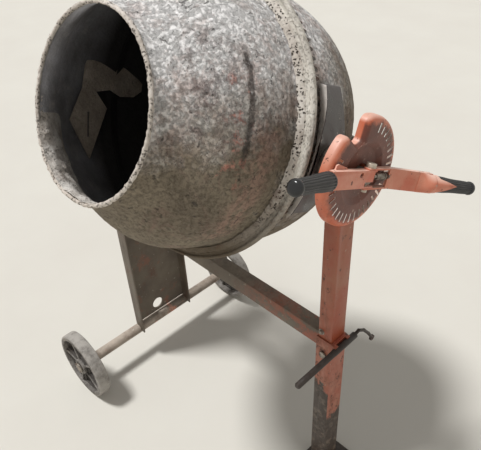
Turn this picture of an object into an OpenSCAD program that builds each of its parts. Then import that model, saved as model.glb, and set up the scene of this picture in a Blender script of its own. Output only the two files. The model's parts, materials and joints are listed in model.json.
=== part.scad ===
// Tilting drum concrete mixer on a two-wheeled stand, real size, millimetres.
// The origin is on the floor under the single post's foot. The axle lies towards -X.
// The drum's mouth looks towards -Y, Z is up, the floor is z = 0.
// Places along the drum's axis are called s. They count from the tilt axis to the mouth.

/* [Stand] */
// height of the drum's tilt axis over the floor
tilt_axis_z = 971; // [900:1:1040]
// distance from the axle to the middle of the post
wheelbase = 713; // [690:1:760]
// post section along X
post_size_x = 37; // [34:1:40]
// post section along Y
post_size_y = 47; // [40:1:60]
// wall of the post and its lower leg
post_wall = 3; // [2:0.5:4]
// length of the upper post that is inside the lower leg
post_insert = 100; // [60:1:140]
// height of the upper post over the tilt axis
post_over_axis = 35; // [30:1:42]
// top of the lower leg, where the seam shows
leg_top_z = 530; // [520:1:560]
// play between the upper post and the lower leg
leg_fit_gap = 0.2; // [0.1:0.1:0.5]
// foot plate size along X
foot_size_x = 110; // [80:1:160]
// foot plate size along Y
foot_size_y = 160; // [100:1:240]
// foot plate thickness
foot_thick = 8; // [5:1:12]
// diameter of the bolt through the leg and the post
leg_pin_d = 10; // [8:1:14]
// distance of that bolt from the leg's top
leg_pin_drop = 46; // [30:1:56]

/* [Upright] */
// distance of the upright's web from the axle's middle
web_back = 3; // [0:1:8]
// sheet thickness of the upright
web_thick = 4; // [3:0.5:6]
// width of the upright along Y
web_width = 201; // [180:1:220]
// depth of the upright's flanges
web_flange = 35; // [25:1:45]
// height of the upright over the tilt axis
web_over_axis = 55; // [40:1:70]
// free space between the upright's web and the axle tube
web_axle_gap = 5; // [2:1:10]
// hole in the upright
web_hole_d = 18; // [12:1:24]
// distance of that hole from the web's lower edge
web_hole_up = 29; // [20:1:60]
// distance of that hole from the middle, towards the mouth side
web_hole_off = 5; // [0:1:20]

/* [Beam] */
// top face of the beam
beam_top_z = 515; // [480:1:520]
// height of the beam's section
beam_height = 47; // [40:1:55]
// width of the beam's section
beam_width = 37; // [30:1:45]
// middle of the beam along Y
beam_centre_y = 17; // [0:1:20]
// sheet thickness of the beam
beam_thick = 4; // [3:0.5:6]
// overhang of the plate that joins the beam to the upright
beam_plate_over = 14; // [8:1:20]

/* [Wheels] */
// wheel diameter
wheel_d = 220; // [200:1:240]
// wheel width at its tread
wheel_w = 38; // [30:1:50]
// distance between the wheels' outer faces
wheel_track = 656; // [600:1:700]
// axle tube diameter
axle_d = 32; // [28:1:36]
// diameter of the axle's turned ends
spindle_d = 20; // [16:1:24]
// radial running clearance of wheels and pivots
running_gap = 0.05; // [0.02:0.01:0.1]
// wheel hub diameter
wheel_hub_d = 52; // [44:1:64]
// side play of a wheel on its axle
side_play = 1; // [0.5:0.5:2]
// collar that keeps a wheel on
keeper_w = 7; // [5:1:10]
// diameter of that collar
keeper_d = 36; // [30:1:44]
// radial depth of the wheel's rim
rim_depth = 15; // [12:1:20]
// rounding of the tread's edges
tread_round = 5; // [3:1:7]
// thickness of the wheel's web
wheel_web = 8; // [6:1:12]
// how deep the web lies behind the wheel's outer face
web_recess = 11; // [8:1:14]
// number of spokes
spoke_count = 5; // [3:1:8]
// width of a spoke
spoke_w = 18; // [12:1:24]
// thickness of the rib along a spoke
spoke_rib = 5; // [4:1:8]

/* [Drum] */
// free space between the drum's ring and the post
drum_post_gap = 6.5; // [5:0.5:20]
// tilt of the drum axis, mouth up
drum_tilt = 23.6; // [0:0.1:40]
// drum sheet thickness
drum_wall = 3; // [2:0.5:4]
// greatest radius of the drum's shell
shell_r = 280; // [270:1:290]
// place of the seam between the two shells
seam_s = 89; // [84:1:95]
// place of the drum's bottom
bottom_s = -210; // [-220:1:-200]
// radius of the flat part of the bottom
bottom_flat_r = 129; // [100:1:140]
// place where the rear shell starts to narrow
bowl_start_s = 72; // [40:1:80]
// fullness of the rear bowl, 2 is an ellipse
bowl_fullness = 2.4; // [2:0.1:3]
// place of the mouth rim's front
mouth_s = 343; // [320:1:350]
// outer radius of the mouth's neck
mouth_r = 176; // [165:1:182]
// radius of the rolled rim
rim_bead_r = 6; // [4:1:8]
// length of the straight neck behind the rolled rim
neck_length = 8; // [4:1:14]
// step of the front shell behind the seam
shoulder_drop = 9; // [4:1:14]
// width of that step
shoulder_w = 11; // [8:1:20]
// fullness of the front shell, higher keeps it wide for longer
front_fullness = 1.87; // [1.4:0.01:2.2]
// flange of the drum's spindle
spindle_flange_d = 120; // [90:1:160]
// thickness of that flange
spindle_flange_t = 8; // [6:1:10]
// drum spindle diameter
drum_spindle_d = 30; // [25:1:35]

/* [Ring gear] */
// height of the toothed ring over the shell
ring_height = 20; // [16:1:24]
// number of teeth on the ring
ring_teeth = 100; // [80:4:120]
// number of teeth on the pinion
pinion_teeth = 20; // [18:1:22]
// height of a tooth over the pitch line
tooth_tip = 5; // [4:0.5:6]
// depth of a tooth under the pitch line
tooth_foot = 6.5; // [5:0.5:8]
// how much thinner than half a pitch each tooth is
tooth_play = 1.6; // [1:0.1:2.5]
// free space between the shell and the pinion
pinion_gap = 5; // [5:0.5:7]
// distance of the teeth's outer ends from the ring's edge
tooth_set_in = 2; // [1:0.5:4]
// height of the two ribs on the ring's front
ring_rib = 2; // [1:0.5:3]
// pinion shaft diameter
pinion_shaft_d = 22; // [18:1:24]

/* [Yoke] */
// free space between parts that move past each other
moving_gap = 5; // [5:0.5:8]
// free space between the drum's shell and the saddle plate
saddle_gap = 6; // [5:0.5:8]
// thickness of the saddle plate
saddle_thick = 6; // [4:1:7]
// rear edge of the saddle plate
saddle_rear_s = -34; // [-44:1:-33]
// reach of the saddle plate above the tilt axis
saddle_up = 134; // [110:1:145]
// reach of the saddle plate below the tilt axis
saddle_down = 112; // [100:1:130]
// how much narrower the saddle plate is at its ends
saddle_taper = 20; // [10:1:24]
// height of the saddle plate's front flange
saddle_flange = 9.5; // [4:0.5:10]
// width of the yoke bars
yoke_width = 50; // [40:1:60]
// depth of the yoke bars
yoke_thick = 14; // [10:1:18]
// sheet thickness of the yoke bars
yoke_sheet = 4; // [3:0.5:6]
// free space between the drum's bottom and the yoke
yoke_drop = 22; // [16:1:40]
// diameter of the hub that carries the drum
hub_d = 72; // [60:1:90]
// length of that hub
hub_length = 34; // [26:1:50]
// thickness of the plate that carries the pinion
cheek_thick = 6; // [4:1:8]
// wall of the pinion's guard
guard_wall = 4; // [3:0.5:5]
// trunnion diameter at the post
trunnion_d = 30; // [26:1:34]
// trunnion diameter at the upright
drive_trunnion_d = 35; // [30:1:40]
// diameter of the trunnion flanges
trunnion_flange_d = 64; // [50:1:66]

/* [Mixing blades] */
// thickness of the blades
blade_thick = 4; // [3:0.5:6]
// length of a blade across the drum
blade_length = 250; // [220:1:270]
// greatest width of a blade along the drum's axis
blade_width = 220; // [190:1:240]
// distance of the blades from the widest shell
blade_inset = 42; // [34:1:60]
// lean of the blades towards the mouth
blade_lean = 9; // [0:1:20]
// place of the front blades along the drum's axis
blade_s = 181; // [170:1:190]
// length of the slot in a blade
blade_slot = 55; // [40:1:70]

/* [Tilt disc] */
// outer radius of the slotted tilt disc
disc_r = 106; // [102:1:112]
// distance of the disc's slotted face from the post
disc_stand_off = 23.5; // [21:0.5:25]
// height of the disc's middle over the tilt axis
disc_rise = 4; // [0:0.5:5]
// depth of the disc's dish
disc_depth = 21; // [18:0.5:21]
// sheet thickness of the disc
disc_thick = 2.5; // [2:0.5:3]
// width of the disc's rolled rim
disc_round = 11; // [9:0.5:13]
// radius of the sunk middle of the disc
disc_middle_r = 60; // [56:1:62]
// depth of that sunk middle
disc_step = 6; // [4:0.5:7]
// radius at the bottom of the notch
notch_r = 12.5; // [10:0.5:15]
// height of the notch circle over the disc's middle
notch_up = 77; // [73:1:80]
// half opening angle of the notch
notch_angle = 31; // [26:1:36]
// turn of the disc towards the mouth side
notch_turn = 10; // [0:1:12]
// rounding of the two lobes beside the notch
lobe_round = 16; // [14:0.5:18]
// width of the catch slots
slot_w = 4; // [2:0.5:5]
// length of the catch slots
slot_length = 18; // [14:1:20]
// angle between two slots
slot_pitch = 10; // [8:1:15]
// angle of the first slot from the top
slot_first = 40; // [38:1:45]

/* [Lever] */
// distance of the lever from the disc
lever_stand_off = 6; // [5:0.5:12]
// depth of the lever's channel
lever_depth = 13.5; // [12:0.5:16]
// height of the near lever's section
lever_height = 33; // [30:1:38]
// sheet thickness of the lever
lever_thick = 4; // [3:0.5:5]
// thickness of the channel's flanges
lever_flange = 3; // [2:0.5:4]
// play between the near lever and the far arm
lever_play = 0.3; // [0.2:0.1:0.6]
// length of the near lever, from the tilt axis to its grip
near_length = 128; // [120:1:150]
// place where the near lever's web ends
near_web_s = 18; // [14:1:30]
// outward lean of the near grip in degrees
near_lean = 9.3; // [0:0.1:20]
// place where the far arm's web starts
far_web_s = -60; // [-66:1:-50]
// place where the far arm starts to lean outward
far_bend_s = -70; // [-90:1:-68]
// outward lean of the far arm in degrees
far_lean = 18.7; // [0:0.1:30]
// length of the far arm from its bend to its grip
far_arm_length = 106; // [80:1:150]
// length of the pointed tongue over the far grip
far_tongue = 60; // [50:1:70]
// sheet thickness of that tongue
far_tongue_thick = 1.6; // [1.2:0.2:2]
// depth of the far arm where its grip starts
far_end_depth = 12; // [10:1:16]
// diameter of the pin that joins both levers
handle_pin_d = 7; // [6:0.5:7]
// diameter of that pin's head
handle_head_d = 19; // [16:1:19]
// hole in the near lever
lever_hole_d = 10; // [6:1:12]
// height of the ear on the near lever
ear_height = 9; // [6:1:12]
// grip diameter where it starts
grip_d = 33; // [28:1:38]
// grip diameter at its tip
grip_tip_d = 27; // [24:1:32]
// grip length
grip_length = 122; // [100:1:135]
// diameter of the tang in the grip
tang_d = 16; // [12:1:18]
// length of the tang in the grip
tang_length = 96; // [70:1:110]

/* [Lift bar] */
// lift bar diameter
bar_d = 15; // [12:1:20]
// near end of the lift bar
bar_near_y = -158; // [-200:1:-100]
// place where the bar's thicker part starts, before its bracket
bar_free_y = -33; // [-40:1:-30]
// how much thicker that part is
bar_seat_more = 1; // [0.5:0.5:2]
// far end of the thick part
bar_far_y = 45; // [38:1:60]
// distance of the lift bar from the leg's top
bar_drop = 13; // [10:1:20]
// thickness of the lift bar's bracket plate
clip_plate = 4; // [3:0.5:6]
// width of each of the bracket's seats
clip_seat_w = 10; // [6:1:14]
// diameter of the hook at the bar's far end
hook_d = 8; // [6:1:10]

/* [Drive housing] */
// drive housing depth along X
housing_depth = 124; // [100:1:140]
// drive housing width along Y
housing_width = 176; // [150:1:190]
// distance of the housing's bottom under the tilt axis
housing_down = 185; // [150:1:200]
// distance of the housing's top over the tilt axis
housing_up = 51; // [40:1:55]
// cover sheet of the drive housing
housing_wall = 3; // [2:0.5:4]
// rounding of the housing's corners
housing_round = 26; // [10:1:36]
// motor length along X
motor_length = 108; // [90:1:118]
// motor width along Y
motor_width = 120; // [90:1:140]
// motor height
motor_height = 110; // [90:1:120]

/* [Hidden] */
$fn = 96;
bowl_steps = 12;
front_steps = 14;
axle_z = wheel_d / 2;
axle_x = -wheelbase;
post_centre_x = 0;
web_face_x = axle_x - web_back;
web_bottom_z = axle_z + axle_d / 2 + web_axle_gap;
web_top_z = tilt_axis_z + web_over_axis;
axle_half = wheel_track / 2 - wheel_w - side_play;
post_face_x = post_centre_x - post_size_x / 2;
post_outer_x = post_centre_x + post_size_x / 2;
post_bottom_z = leg_top_z - post_insert;
post_top_z = tilt_axis_z + post_over_axis;
leg_pin_z = leg_top_z - leg_pin_drop;
leg_size_x = post_size_x + 2 * leg_fit_gap + 2 * post_wall;
leg_size_y = post_size_y + 2 * leg_fit_gap + 2 * post_wall;
leg_face_x = post_centre_x - leg_size_x / 2;
leg_outer_x = post_centre_x + leg_size_x / 2;
ring_r = shell_r + ring_height;
drum_centre_x = post_face_x - drum_post_gap - ring_r;
neck_s = mouth_s - rim_bead_r - neck_length;
tooth_in_r = shell_r + pinion_gap;
tooth_out_r = ring_r - tooth_set_in;
ring_mid_r = (tooth_in_r + tooth_out_r) / 2;
tooth_pitch = 360 / ring_teeth * PI / 180 * ring_mid_r;
pinion_r = ring_mid_r * pinion_teeth / ring_teeth;
pinion_tip_r = pinion_r + tooth_tip;
pinion_foot_r = pinion_r - tooth_foot;
tooth_half = (tooth_pitch / 2 - tooth_play) / 2;
ring_back_s = pinion_r + tooth_foot;
tooth_tip_s = pinion_r - tooth_tip;
ring_front_s = seam_s - ring_rib;
saddle_r = shell_r + saddle_gap;
saddle_outer_r = saddle_r + saddle_thick;
saddle_front_s = tooth_tip_s - moving_gap;
cheek_r = ring_r + moving_gap;
cheek_x = drum_centre_x - cheek_r;
cheek_outer_x = cheek_x - cheek_thick;
guard_r = pinion_tip_r + moving_gap + guard_wall;
cheek_rear_s = -guard_r - 4;
yoke_s = bottom_s - yoke_drop;
trunnion_flange_x = drum_centre_x + saddle_outer_r;
disc_face_x = post_outer_x + disc_stand_off;
lever_back_x = disc_face_x + lever_stand_off;
lever_face_x = lever_back_x + lever_depth;
tang_x = lever_face_x - lever_thick / 2;
far_height = lever_height + 2 * lever_flange + 2 * lever_play;
handle_x = lever_back_x + 4.7;
rim_drop = 0.9 * disc_round + 1;
lobe_turn = notch_angle + asin((notch_r + lobe_round - notch_up * sin(notch_angle)) / (disc_r - lobe_round));
lobe = (disc_r - lobe_round) * [sin(lobe_turn), cos(lobe_turn)];
slot_in_r = disc_r - disc_round - slot_length;
bar_seat_d = bar_d + bar_seat_more;
bar_x = leg_outer_x + clip_plate + bar_d / 2;
bar_z = leg_top_z - bar_drop;
housing_face_x = web_face_x - web_thick;
housing_bottom_z = tilt_axis_z - housing_down;
housing_height = housing_down + housing_up;

// The tilted frame: local x stays X, local z runs to the mouth, local y is the normal.
module tilted() {
    translate([0, 0, tilt_axis_z]) rotate([90 - drum_tilt, 0, 0]) children();
}

// The drum's own frame, local z along the drum axis.
module on_drum() {
    tilted() translate([drum_centre_x, 0, 0]) children();
}

// A shape drawn in x and s, as thick as n1 - n0 along the normal.
module slab(n0, n1) {
    translate([0, n1, 0]) rotate([90, 0, 0]) linear_extrude(n1 - n0) children();
}

// A shape drawn in Y and Z, extruded along +X from x0.
module along_x(x0, h) {
    translate([x0, 0, 0]) rotate([90, 0, 90]) linear_extrude(h) children();
}

// A round bar along X.
module rod_x(x0, x1, d) {
    translate([x0, 0, 0]) rotate([0, 90, 0]) cylinder(h = x1 - x0, d = d);
}

// A round bar along Y.
module rod_y(y0, y1, d) {
    translate([0, y1, 0]) rotate([90, 0, 0]) cylinder(h = y1 - y0, d = d);
}

function reversed(points) = [for (i = [len(points) - 1 : -1 : 0]) points[i]];

// Corner points of a rounded rectangle that starts at (0, 0).
function rounded(w, h, r) = [for (c = [[w - r, h - r, 0], [r, h - r, 90], [r, r, 180], [w - r, r, 270]])
    for (a = [0 : 18 : 90]) [c[0] + r * cos(c[2] + a), c[1] + r * sin(c[2] + a)]];

// The rear bowl's outline, from radius r at s0 to the flat bottom at s1.
function bowl(r, s0, s1) = [for (i = [0 : bowl_steps]) let (t = 90 * i / bowl_steps)
    [bottom_flat_r + (r - bottom_flat_r) * pow(cos(t), 2 / bowl_fullness),
     s0 - (s0 - s1) * pow(sin(t), 2 / bowl_fullness)]];

// The front shell's outline from its shoulder to its neck, moved in by e.
function front(e) = [for (i = [0 : front_steps]) let (u = i / front_steps)
    [mouth_r - e + (shell_r - shoulder_drop - mouth_r) * (1 + cos(180 * pow(u, front_fullness))) / 2,
     seam_s + shoulder_w + (neck_s - seam_s - shoulder_w) * u - e * u * (1 - u) * 2]];

module upright() {
    color([0.27, 0.24, 0.21])
    difference() {
        union() {
            translate([web_face_x - web_thick, -web_width / 2, web_bottom_z])
                cube([web_thick, web_width, web_top_z - web_bottom_z]);
            for (side = [0, 1])
                mirror([0, side, 0])
                    translate([web_face_x - web_thick / 2, web_width / 2 - web_thick, axle_z])
                        cube([web_flange + web_thick / 2, web_thick, web_top_z - axle_z]);
        }
        translate([axle_x, 0, axle_z]) rod_y(-web_width, web_width, axle_d);
        translate([0, -web_hole_off, web_bottom_z + web_hole_up])
            rod_x(web_face_x - 20, web_face_x + 10, web_hole_d);
        translate([0, 0, tilt_axis_z])
            rod_x(web_face_x - 20, web_face_x + 10, drive_trunnion_d + 2 * running_gap);
    }
}

module axle() {
    color([0.33, 0.31, 0.29])
    translate([axle_x, 0, axle_z]) {
        rod_y(-axle_half, axle_half, axle_d);
        for (side = [0, 1])
            mirror([0, side, 0])
                rod_y(axle_half - 1, wheel_track / 2 + keeper_w, spindle_d);
    }
}

// One wheel: a tread ring, a thin web with openings, ribs on its spokes and a hub.
module wheel_at(side) {
    color([0.42, 0.41, 0.38])
    mirror([0, side, 0])
    translate([axle_x, -wheel_track / 2, axle_z])
    rotate([-90, 0, 0])
    difference() {
        union() {
            rotate_extrude()
                polygon([[wheel_d / 2 - rim_depth, 0], [wheel_d / 2 - tread_round, 0],
                         [wheel_d / 2 - tread_round * 0.3, tread_round * 0.3],
                         [wheel_d / 2, tread_round], [wheel_d / 2, wheel_w - tread_round],
                         [wheel_d / 2 - tread_round * 0.3, wheel_w - tread_round * 0.3],
                         [wheel_d / 2 - tread_round, wheel_w], [wheel_d / 2 - rim_depth, wheel_w]]);
            translate([0, 0, web_recess])
                cylinder(h = wheel_web, d = wheel_d - rim_depth);
            translate([0, 0, 0]) cylinder(h = wheel_w, d = wheel_hub_d);
            for (i = [0 : spoke_count - 1])
                rotate([0, 0, 360 * (i + 0.5) / spoke_count])
                    translate([wheel_hub_d / 2 - 3, -spoke_rib / 2, web_recess - 6])
                        cube([wheel_d / 2 - rim_depth - wheel_hub_d / 2 + 6, spoke_rib, wheel_web + 12]);
        }
        for (i = [0 : spoke_count - 1])
            rotate([0, 0, 360 * i / spoke_count]) wheel_opening();
        translate([0, 0, -1]) cylinder(h = wheel_w + 2, d = spindle_d + 2 * running_gap);
    }
}

// A curved opening between two spokes.
module wheel_opening() {
    inner_r = wheel_hub_d / 2 + 9;
    outer_r = wheel_d / 2 - rim_depth - 8;
    side_angle = 180 / spoke_count - asin(spoke_w / 2 / outer_r) - 4;
    translate([0, 0, -1])
    linear_extrude(wheel_w + 2)
    intersection() {
        difference() {
            circle(r = outer_r);
            circle(r = inner_r);
        }
        polygon([[0, 0], 2 * outer_r * [cos(-side_angle), sin(-side_angle)],
                 2 * outer_r * [cos(side_angle), sin(side_angle)]]);
    }
}

module wheel_near() { wheel_at(0); }
module wheel_far() { wheel_at(1); }

module keeper_at(side) {
    color([0.36, 0.35, 0.33])
    mirror([0, side, 0])
    translate([axle_x, -wheel_track / 2, axle_z])
    difference() {
        rod_y(-keeper_w, -side_play, keeper_d);
        rod_y(-keeper_w - 1, 0, spindle_d);
    }
}

module keeper_near() { keeper_at(0); }
module keeper_far() { keeper_at(1); }

// A channel that is open downwards, with a plate at the upright.
module beam() {
    beam_bottom_z = beam_top_z - beam_height;
    color([0.25, 0.23, 0.21])
    difference() {
        union() {
            translate([web_face_x, beam_centre_y - beam_width / 2, beam_bottom_z])
                cube([leg_face_x - web_face_x, beam_width, beam_height]);
            translate([web_face_x, beam_centre_y - beam_width / 2 - beam_plate_over, beam_bottom_z - beam_plate_over])
                cube([beam_thick, beam_width + 2 * beam_plate_over, beam_height + 2 * beam_plate_over]);
        }
        translate([web_face_x + beam_thick, beam_centre_y - beam_width / 2 + beam_thick, beam_bottom_z - 1])
            cube([leg_face_x - web_face_x, beam_width - 2 * beam_thick, beam_height - beam_thick + 1]);
    }
}

module post() {
    color([0.72, 0.33, 0.22])
    difference() {
        translate([post_face_x, -post_size_y / 2, post_bottom_z])
            cube([post_size_x, post_size_y, post_top_z - post_bottom_z]);
        translate([post_face_x + post_wall, -post_size_y / 2 + post_wall, post_bottom_z - 1])
            cube([post_size_x - 2 * post_wall, post_size_y - 2 * post_wall, post_top_z - post_bottom_z + 2]);
        translate([0, 0, tilt_axis_z])
            rod_x(post_face_x - 1, post_outer_x + 1, trunnion_d + 2 * running_gap);
        translate([post_centre_x, 0, leg_pin_z]) rod_y(-leg_size_y, leg_size_y, leg_pin_d);
    }
}

module leg() {
    color([0.66, 0.31, 0.22])
    difference() {
        translate([leg_face_x, -leg_size_y / 2, foot_thick])
            cube([leg_size_x, leg_size_y, leg_top_z - foot_thick]);
        translate([leg_face_x + post_wall, -leg_size_y / 2 + post_wall, foot_thick - 1])
            cube([leg_size_x - 2 * post_wall, leg_size_y - 2 * post_wall, leg_top_z]);
        translate([post_centre_x, 0, leg_pin_z]) rod_y(-leg_size_y, leg_size_y, leg_pin_d);
    }
}

module leg_pin() {
    head_t = 0.6 * leg_pin_d;
    color([0.30, 0.24, 0.20])
    translate([post_centre_x, 0, leg_pin_z]) {
        rod_y(-leg_size_y / 2 - 1, leg_size_y / 2 + 1, leg_pin_d);
        for (side = [0, 1])
            mirror([0, side, 0]) rod_y(leg_size_y / 2, leg_size_y / 2 + head_t, 1.8 * leg_pin_d);
    }
}

module foot() {
    color([0.30, 0.27, 0.24])
    translate([post_centre_x - foot_size_x / 2, -foot_size_y / 2, 0])
        linear_extrude(foot_thick) polygon(rounded(foot_size_x, foot_size_y, 12));
}

// The hook's centre line behind the lift bar, in Y and Z.
hook = [[bar_far_y - 8, bar_z], [bar_far_y + 15, bar_z + 3], [bar_far_y + 37, bar_z - 13],
        [bar_far_y + 59, bar_z - 41], [bar_far_y + 77, bar_z - 70]];

// A round rod from p to q, both given in Y and Z.
module link(p, q, d) {
    translate([0, p[0], p[1]])
        rotate([atan2(q[1] - p[1], q[0] - p[0]), 0, 0]) rod_y(0, norm(q - p), d);
}

module lift_bar() {
    color([0.28, 0.22, 0.20])
    translate([bar_x, 0, bar_z]) {
        rod_y(bar_near_y + 3, bar_free_y, bar_d);
        rod_y(bar_free_y, bar_far_y, bar_seat_d);
        translate([0, bar_near_y + 3, 0])
            rotate([90, 0, 0]) cylinder(h = 3, d1 = bar_d, d2 = bar_d - 4);
    }
}

// The arched hook on the bar's far end, with a flat eye.
module bar_hook() {
    $fn = 24;
    eye_d = 1.9 * hook_d;
    color([0.28, 0.22, 0.20])
    translate([bar_x, 0, 0])
    difference() {
        union() {
            for (i = [0 : len(hook) - 2])
                link(hook[i], hook[i + 1], hook_d);
            for (i = [1 : len(hook) - 2])
                translate([0, hook[i][0], hook[i][1]]) sphere(d = hook_d + 0.8);
            translate([0, hook[4][0], hook[4][1]]) rod_x(-hook_d * 0.35, hook_d * 0.35, eye_d);
        }
        translate([0, hook[4][0], hook[4][1]]) rod_x(-hook_d, hook_d, eye_d * 0.4);
        translate([0, 0, bar_z]) rod_y(bar_far_y - bar_d, bar_far_y, 2 * bar_d);
    }
}

// A plate on the leg with two half round seats for the lift bar.
module bar_bracket() {
    color([0.55, 0.28, 0.20])
    difference() {
        union() {
            translate([leg_outer_x, -leg_size_y / 2, bar_z - bar_d]) cube([clip_plate, leg_size_y, 1.8 * bar_d]);
            for (y0 = [-leg_size_y / 2, leg_size_y / 2 - clip_seat_w])
                translate([leg_outer_x, y0, bar_z - bar_d * 0.7])
                    cube([clip_plate + bar_d / 2, clip_seat_w, bar_d * 1.4]);
        }
        translate([bar_x, 0, bar_z]) rod_y(-leg_size_y, leg_size_y, bar_seat_d);
    }
}

// Points on an arc around c.
function arc(c, r, a0, a1, steps) = [for (i = [0 : steps])
    let (a = a0 + (a1 - a0) * i / steps) [c[0] + r * cos(a), c[1] + r * sin(a)]];

// The right edge of the notch, grown by e: its round bottom, its flank and the lobe beside it.
function notch_side(e) = concat(
    arc([0, notch_up], notch_r + e, -90, -notch_angle, 5),
    arc(lobe, lobe_round - e, 180 - notch_angle, 98 - lobe_turn, 6),
    [(disc_r + 10) * [sin(lobe_turn - 4), cos(lobe_turn - 4)], [0, disc_r + 30]]);

// The heart-shaped disc's notch, grown by e, turned with the disc.
module notch(e) {
    side = notch_side(e);
    rotate(notch_turn)
        polygon(concat(side, [for (i = [len(side) - 2 : -1 : 1]) [-side[i][0], side[i][1]]]));
}

// The disc's section, moved inwards by e: sunk middle, slotted ring and rolled rim.
function disc_section(e) = concat(
    [[0, -disc_step - e], [disc_middle_r - 2 * disc_step + e * 0.4, -disc_step - e], [disc_middle_r + e * 0.4, -e]],
    [for (a = [90 : -15 : 0]) [disc_r - disc_round + (disc_round - e) * cos(a),
                               -rim_drop + (rim_drop - e) * sin(a)]],
    [[disc_r - e, -disc_depth]]);

module disc_turned(points) {
    translate([disc_face_x, 0, 0]) rotate([0, 90, 0]) rotate_extrude() polygon(points);
}

module tilt_disc() {
    hub_outer_d = trunnion_d + 28;
    hub_inner_d = trunnion_d + 14;
    color([0.80, 0.36, 0.22])
    translate([0, 0, tilt_axis_z])
    difference() {
        union() {
            translate([0, 0, disc_rise]) {
                difference() {
                    disc_turned(concat(disc_section(0), reversed(disc_section(disc_thick))));
                    along_x(disc_face_x - 2 * disc_depth, 3 * disc_depth) notch(0);
                }
                intersection() {
                    disc_turned(concat(disc_section(0), [[0, -disc_depth]]));
                    along_x(disc_face_x - disc_depth, disc_depth - 1)
                        difference() { notch(disc_thick); notch(0); }
                }
            }
            rod_x(post_outer_x, disc_face_x - disc_step - disc_thick / 2, hub_outer_d);
        }
        rod_x(post_outer_x - 1, disc_face_x + 1, hub_inner_d);
        for (a = [slot_first : slot_pitch : 360 - slot_first])
            translate([0, 0, disc_rise]) rotate([a + notch_turn, 0, 0])
                translate([disc_face_x - disc_depth / 2, -slot_w / 2, slot_in_r])
                    cube([disc_depth, slot_w, slot_length]);
    }
}

// The near lever: a channel with a hole, an ear, a strap over the pivot and a tang for its grip.
module lever() {
    half = lever_height / 2;
    flange_end = near_length - 12;
    color([0.80, 0.38, 0.25])
    tilted()
    difference() {
        union() {
            slab(-half, half)
                polygon([[lever_face_x - lever_thick, near_web_s], [lever_face_x, near_web_s],
                         [lever_face_x, near_length], [lever_face_x - lever_thick, near_length]]);
            slab(-half * 0.3, half)
                polygon([[lever_face_x - lever_thick, -8], [lever_face_x, -8],
                         [lever_face_x, near_web_s + 1], [lever_face_x - lever_thick, near_web_s + 1]]);
            for (n0 = [-half, half - lever_flange])
                slab(n0, n0 + lever_flange)
                    polygon([[lever_back_x, -14], [lever_face_x - 0.5, -14], [lever_face_x - 0.5, near_length],
                             [lever_face_x - lever_thick - 5, near_length], [lever_back_x, flange_end - 20]]);
            along_x(lever_back_x + 1, lever_flange)
                polygon([[half - 1, 70], [half - 1, 110], [half + ear_height * 0.8, 108],
                         [half + ear_height, 102], [half + 3, 76]]);
            translate([tang_x, 0, near_length]) rotate([0, near_lean, 0])
                translate([0, 0, -14]) cylinder(h = tang_length + 14, d = tang_d);
        }
        translate([0, lever_height / 4, 2 * near_web_s]) rod_x(lever_back_x, lever_face_x + 1, lever_hole_d);
        translate([handle_x, 0, 0]) rod_y(-far_height, far_height, handle_pin_d + lever_play);
    }
}

// The pointed end of the far arm, bent round the outer half of the grip. Local z runs along the grip.
module far_tongue_shape() {
    inner_r = grip_d / 2 + lever_play;
    intersection() {
        difference() {
            translate([0, 0, -4]) cylinder(h = far_tongue + 4, r = inner_r + far_tongue_thick);
            translate([0, 0, -5]) cylinder(h = far_tongue + 6, r = inner_r);
        }
        along_x(-2 * inner_r, 2 * inner_r)
            polygon([[-2 * inner_r, -4], [2 * inner_r, -4], [2 * inner_r, 0], [0.85 * inner_r, 0.25 * far_tongue],
                     [0.6 * inner_r, 0.65 * far_tongue], [0.28 * inner_r, far_tongue], [0, 0.8 * far_tongue],
                     [-0.8 * inner_r, 0.22 * far_tongue], [-2 * inner_r, 2]]);
    }
}

// The far arm: a wider channel over the near lever's end that leans outwards to its grip.
module far_arm() {
    half = far_height / 2;
    out = [sin(far_lean), -cos(far_lean)];
    inward = [-cos(far_lean), -sin(far_lean)];
    bend = [lever_face_x, far_bend_s];
    end = bend + far_arm_length * out;
    color([0.80, 0.38, 0.25])
    tilted()
    difference() {
        union() {
            slab(-half, half)
                polygon([[lever_face_x - lever_thick, far_web_s], [lever_face_x, far_web_s], bend, end,
                         end + lever_thick * inward, bend + [-lever_thick, 0]]);
            for (n0 = [-half, half - lever_flange])
                slab(n0, n0 + lever_flange)
                    polygon([[lever_back_x, 14], [lever_face_x - 0.5, 14], bend - [0.5, 0], end + 0.5 * inward,
                             end + far_end_depth * inward, [lever_back_x, far_bend_s]]);
            translate([tang_x, 0, far_bend_s]) rotate([0, 180 - far_lean, 0]) translate([0, 0, far_arm_length]) {
                translate([0, 0, -14]) cylinder(h = tang_length + 14, d = tang_d);
                far_tongue_shape();
            }
        }
        translate([handle_x, 0, 0]) rod_y(-far_height, far_height, handle_pin_d + lever_play);
    }
}

// The pin through both levers and the trunnion's end.
module handle_pin() {
    half = far_height / 2 + lever_play;
    color([0.62, 0.60, 0.54])
    tilted() translate([handle_x, 0, 0]) {
        rod_y(-half - 1, half + 1, handle_pin_d);
        rod_y(half, half + 8, handle_head_d);
        rod_y(-half - 6, -half, handle_head_d * 0.7);
    }
}

// The tongue that drops into a slot of the disc. It is drawn back here.
module catch() {
    color([0.40, 0.34, 0.30])
    tilted()
    slab(-slot_w / 2 + 0.3, slot_w / 2 - 0.3)
        polygon([[lever_back_x - 1, slot_in_r + disc_rise], [lever_face_x - lever_thick - 0.2, slot_in_r],
                 [lever_face_x - lever_thick - 0.2, slot_in_r + slot_length],
                 [lever_back_x - 1, slot_in_r + slot_length - disc_rise]]);
}

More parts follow.
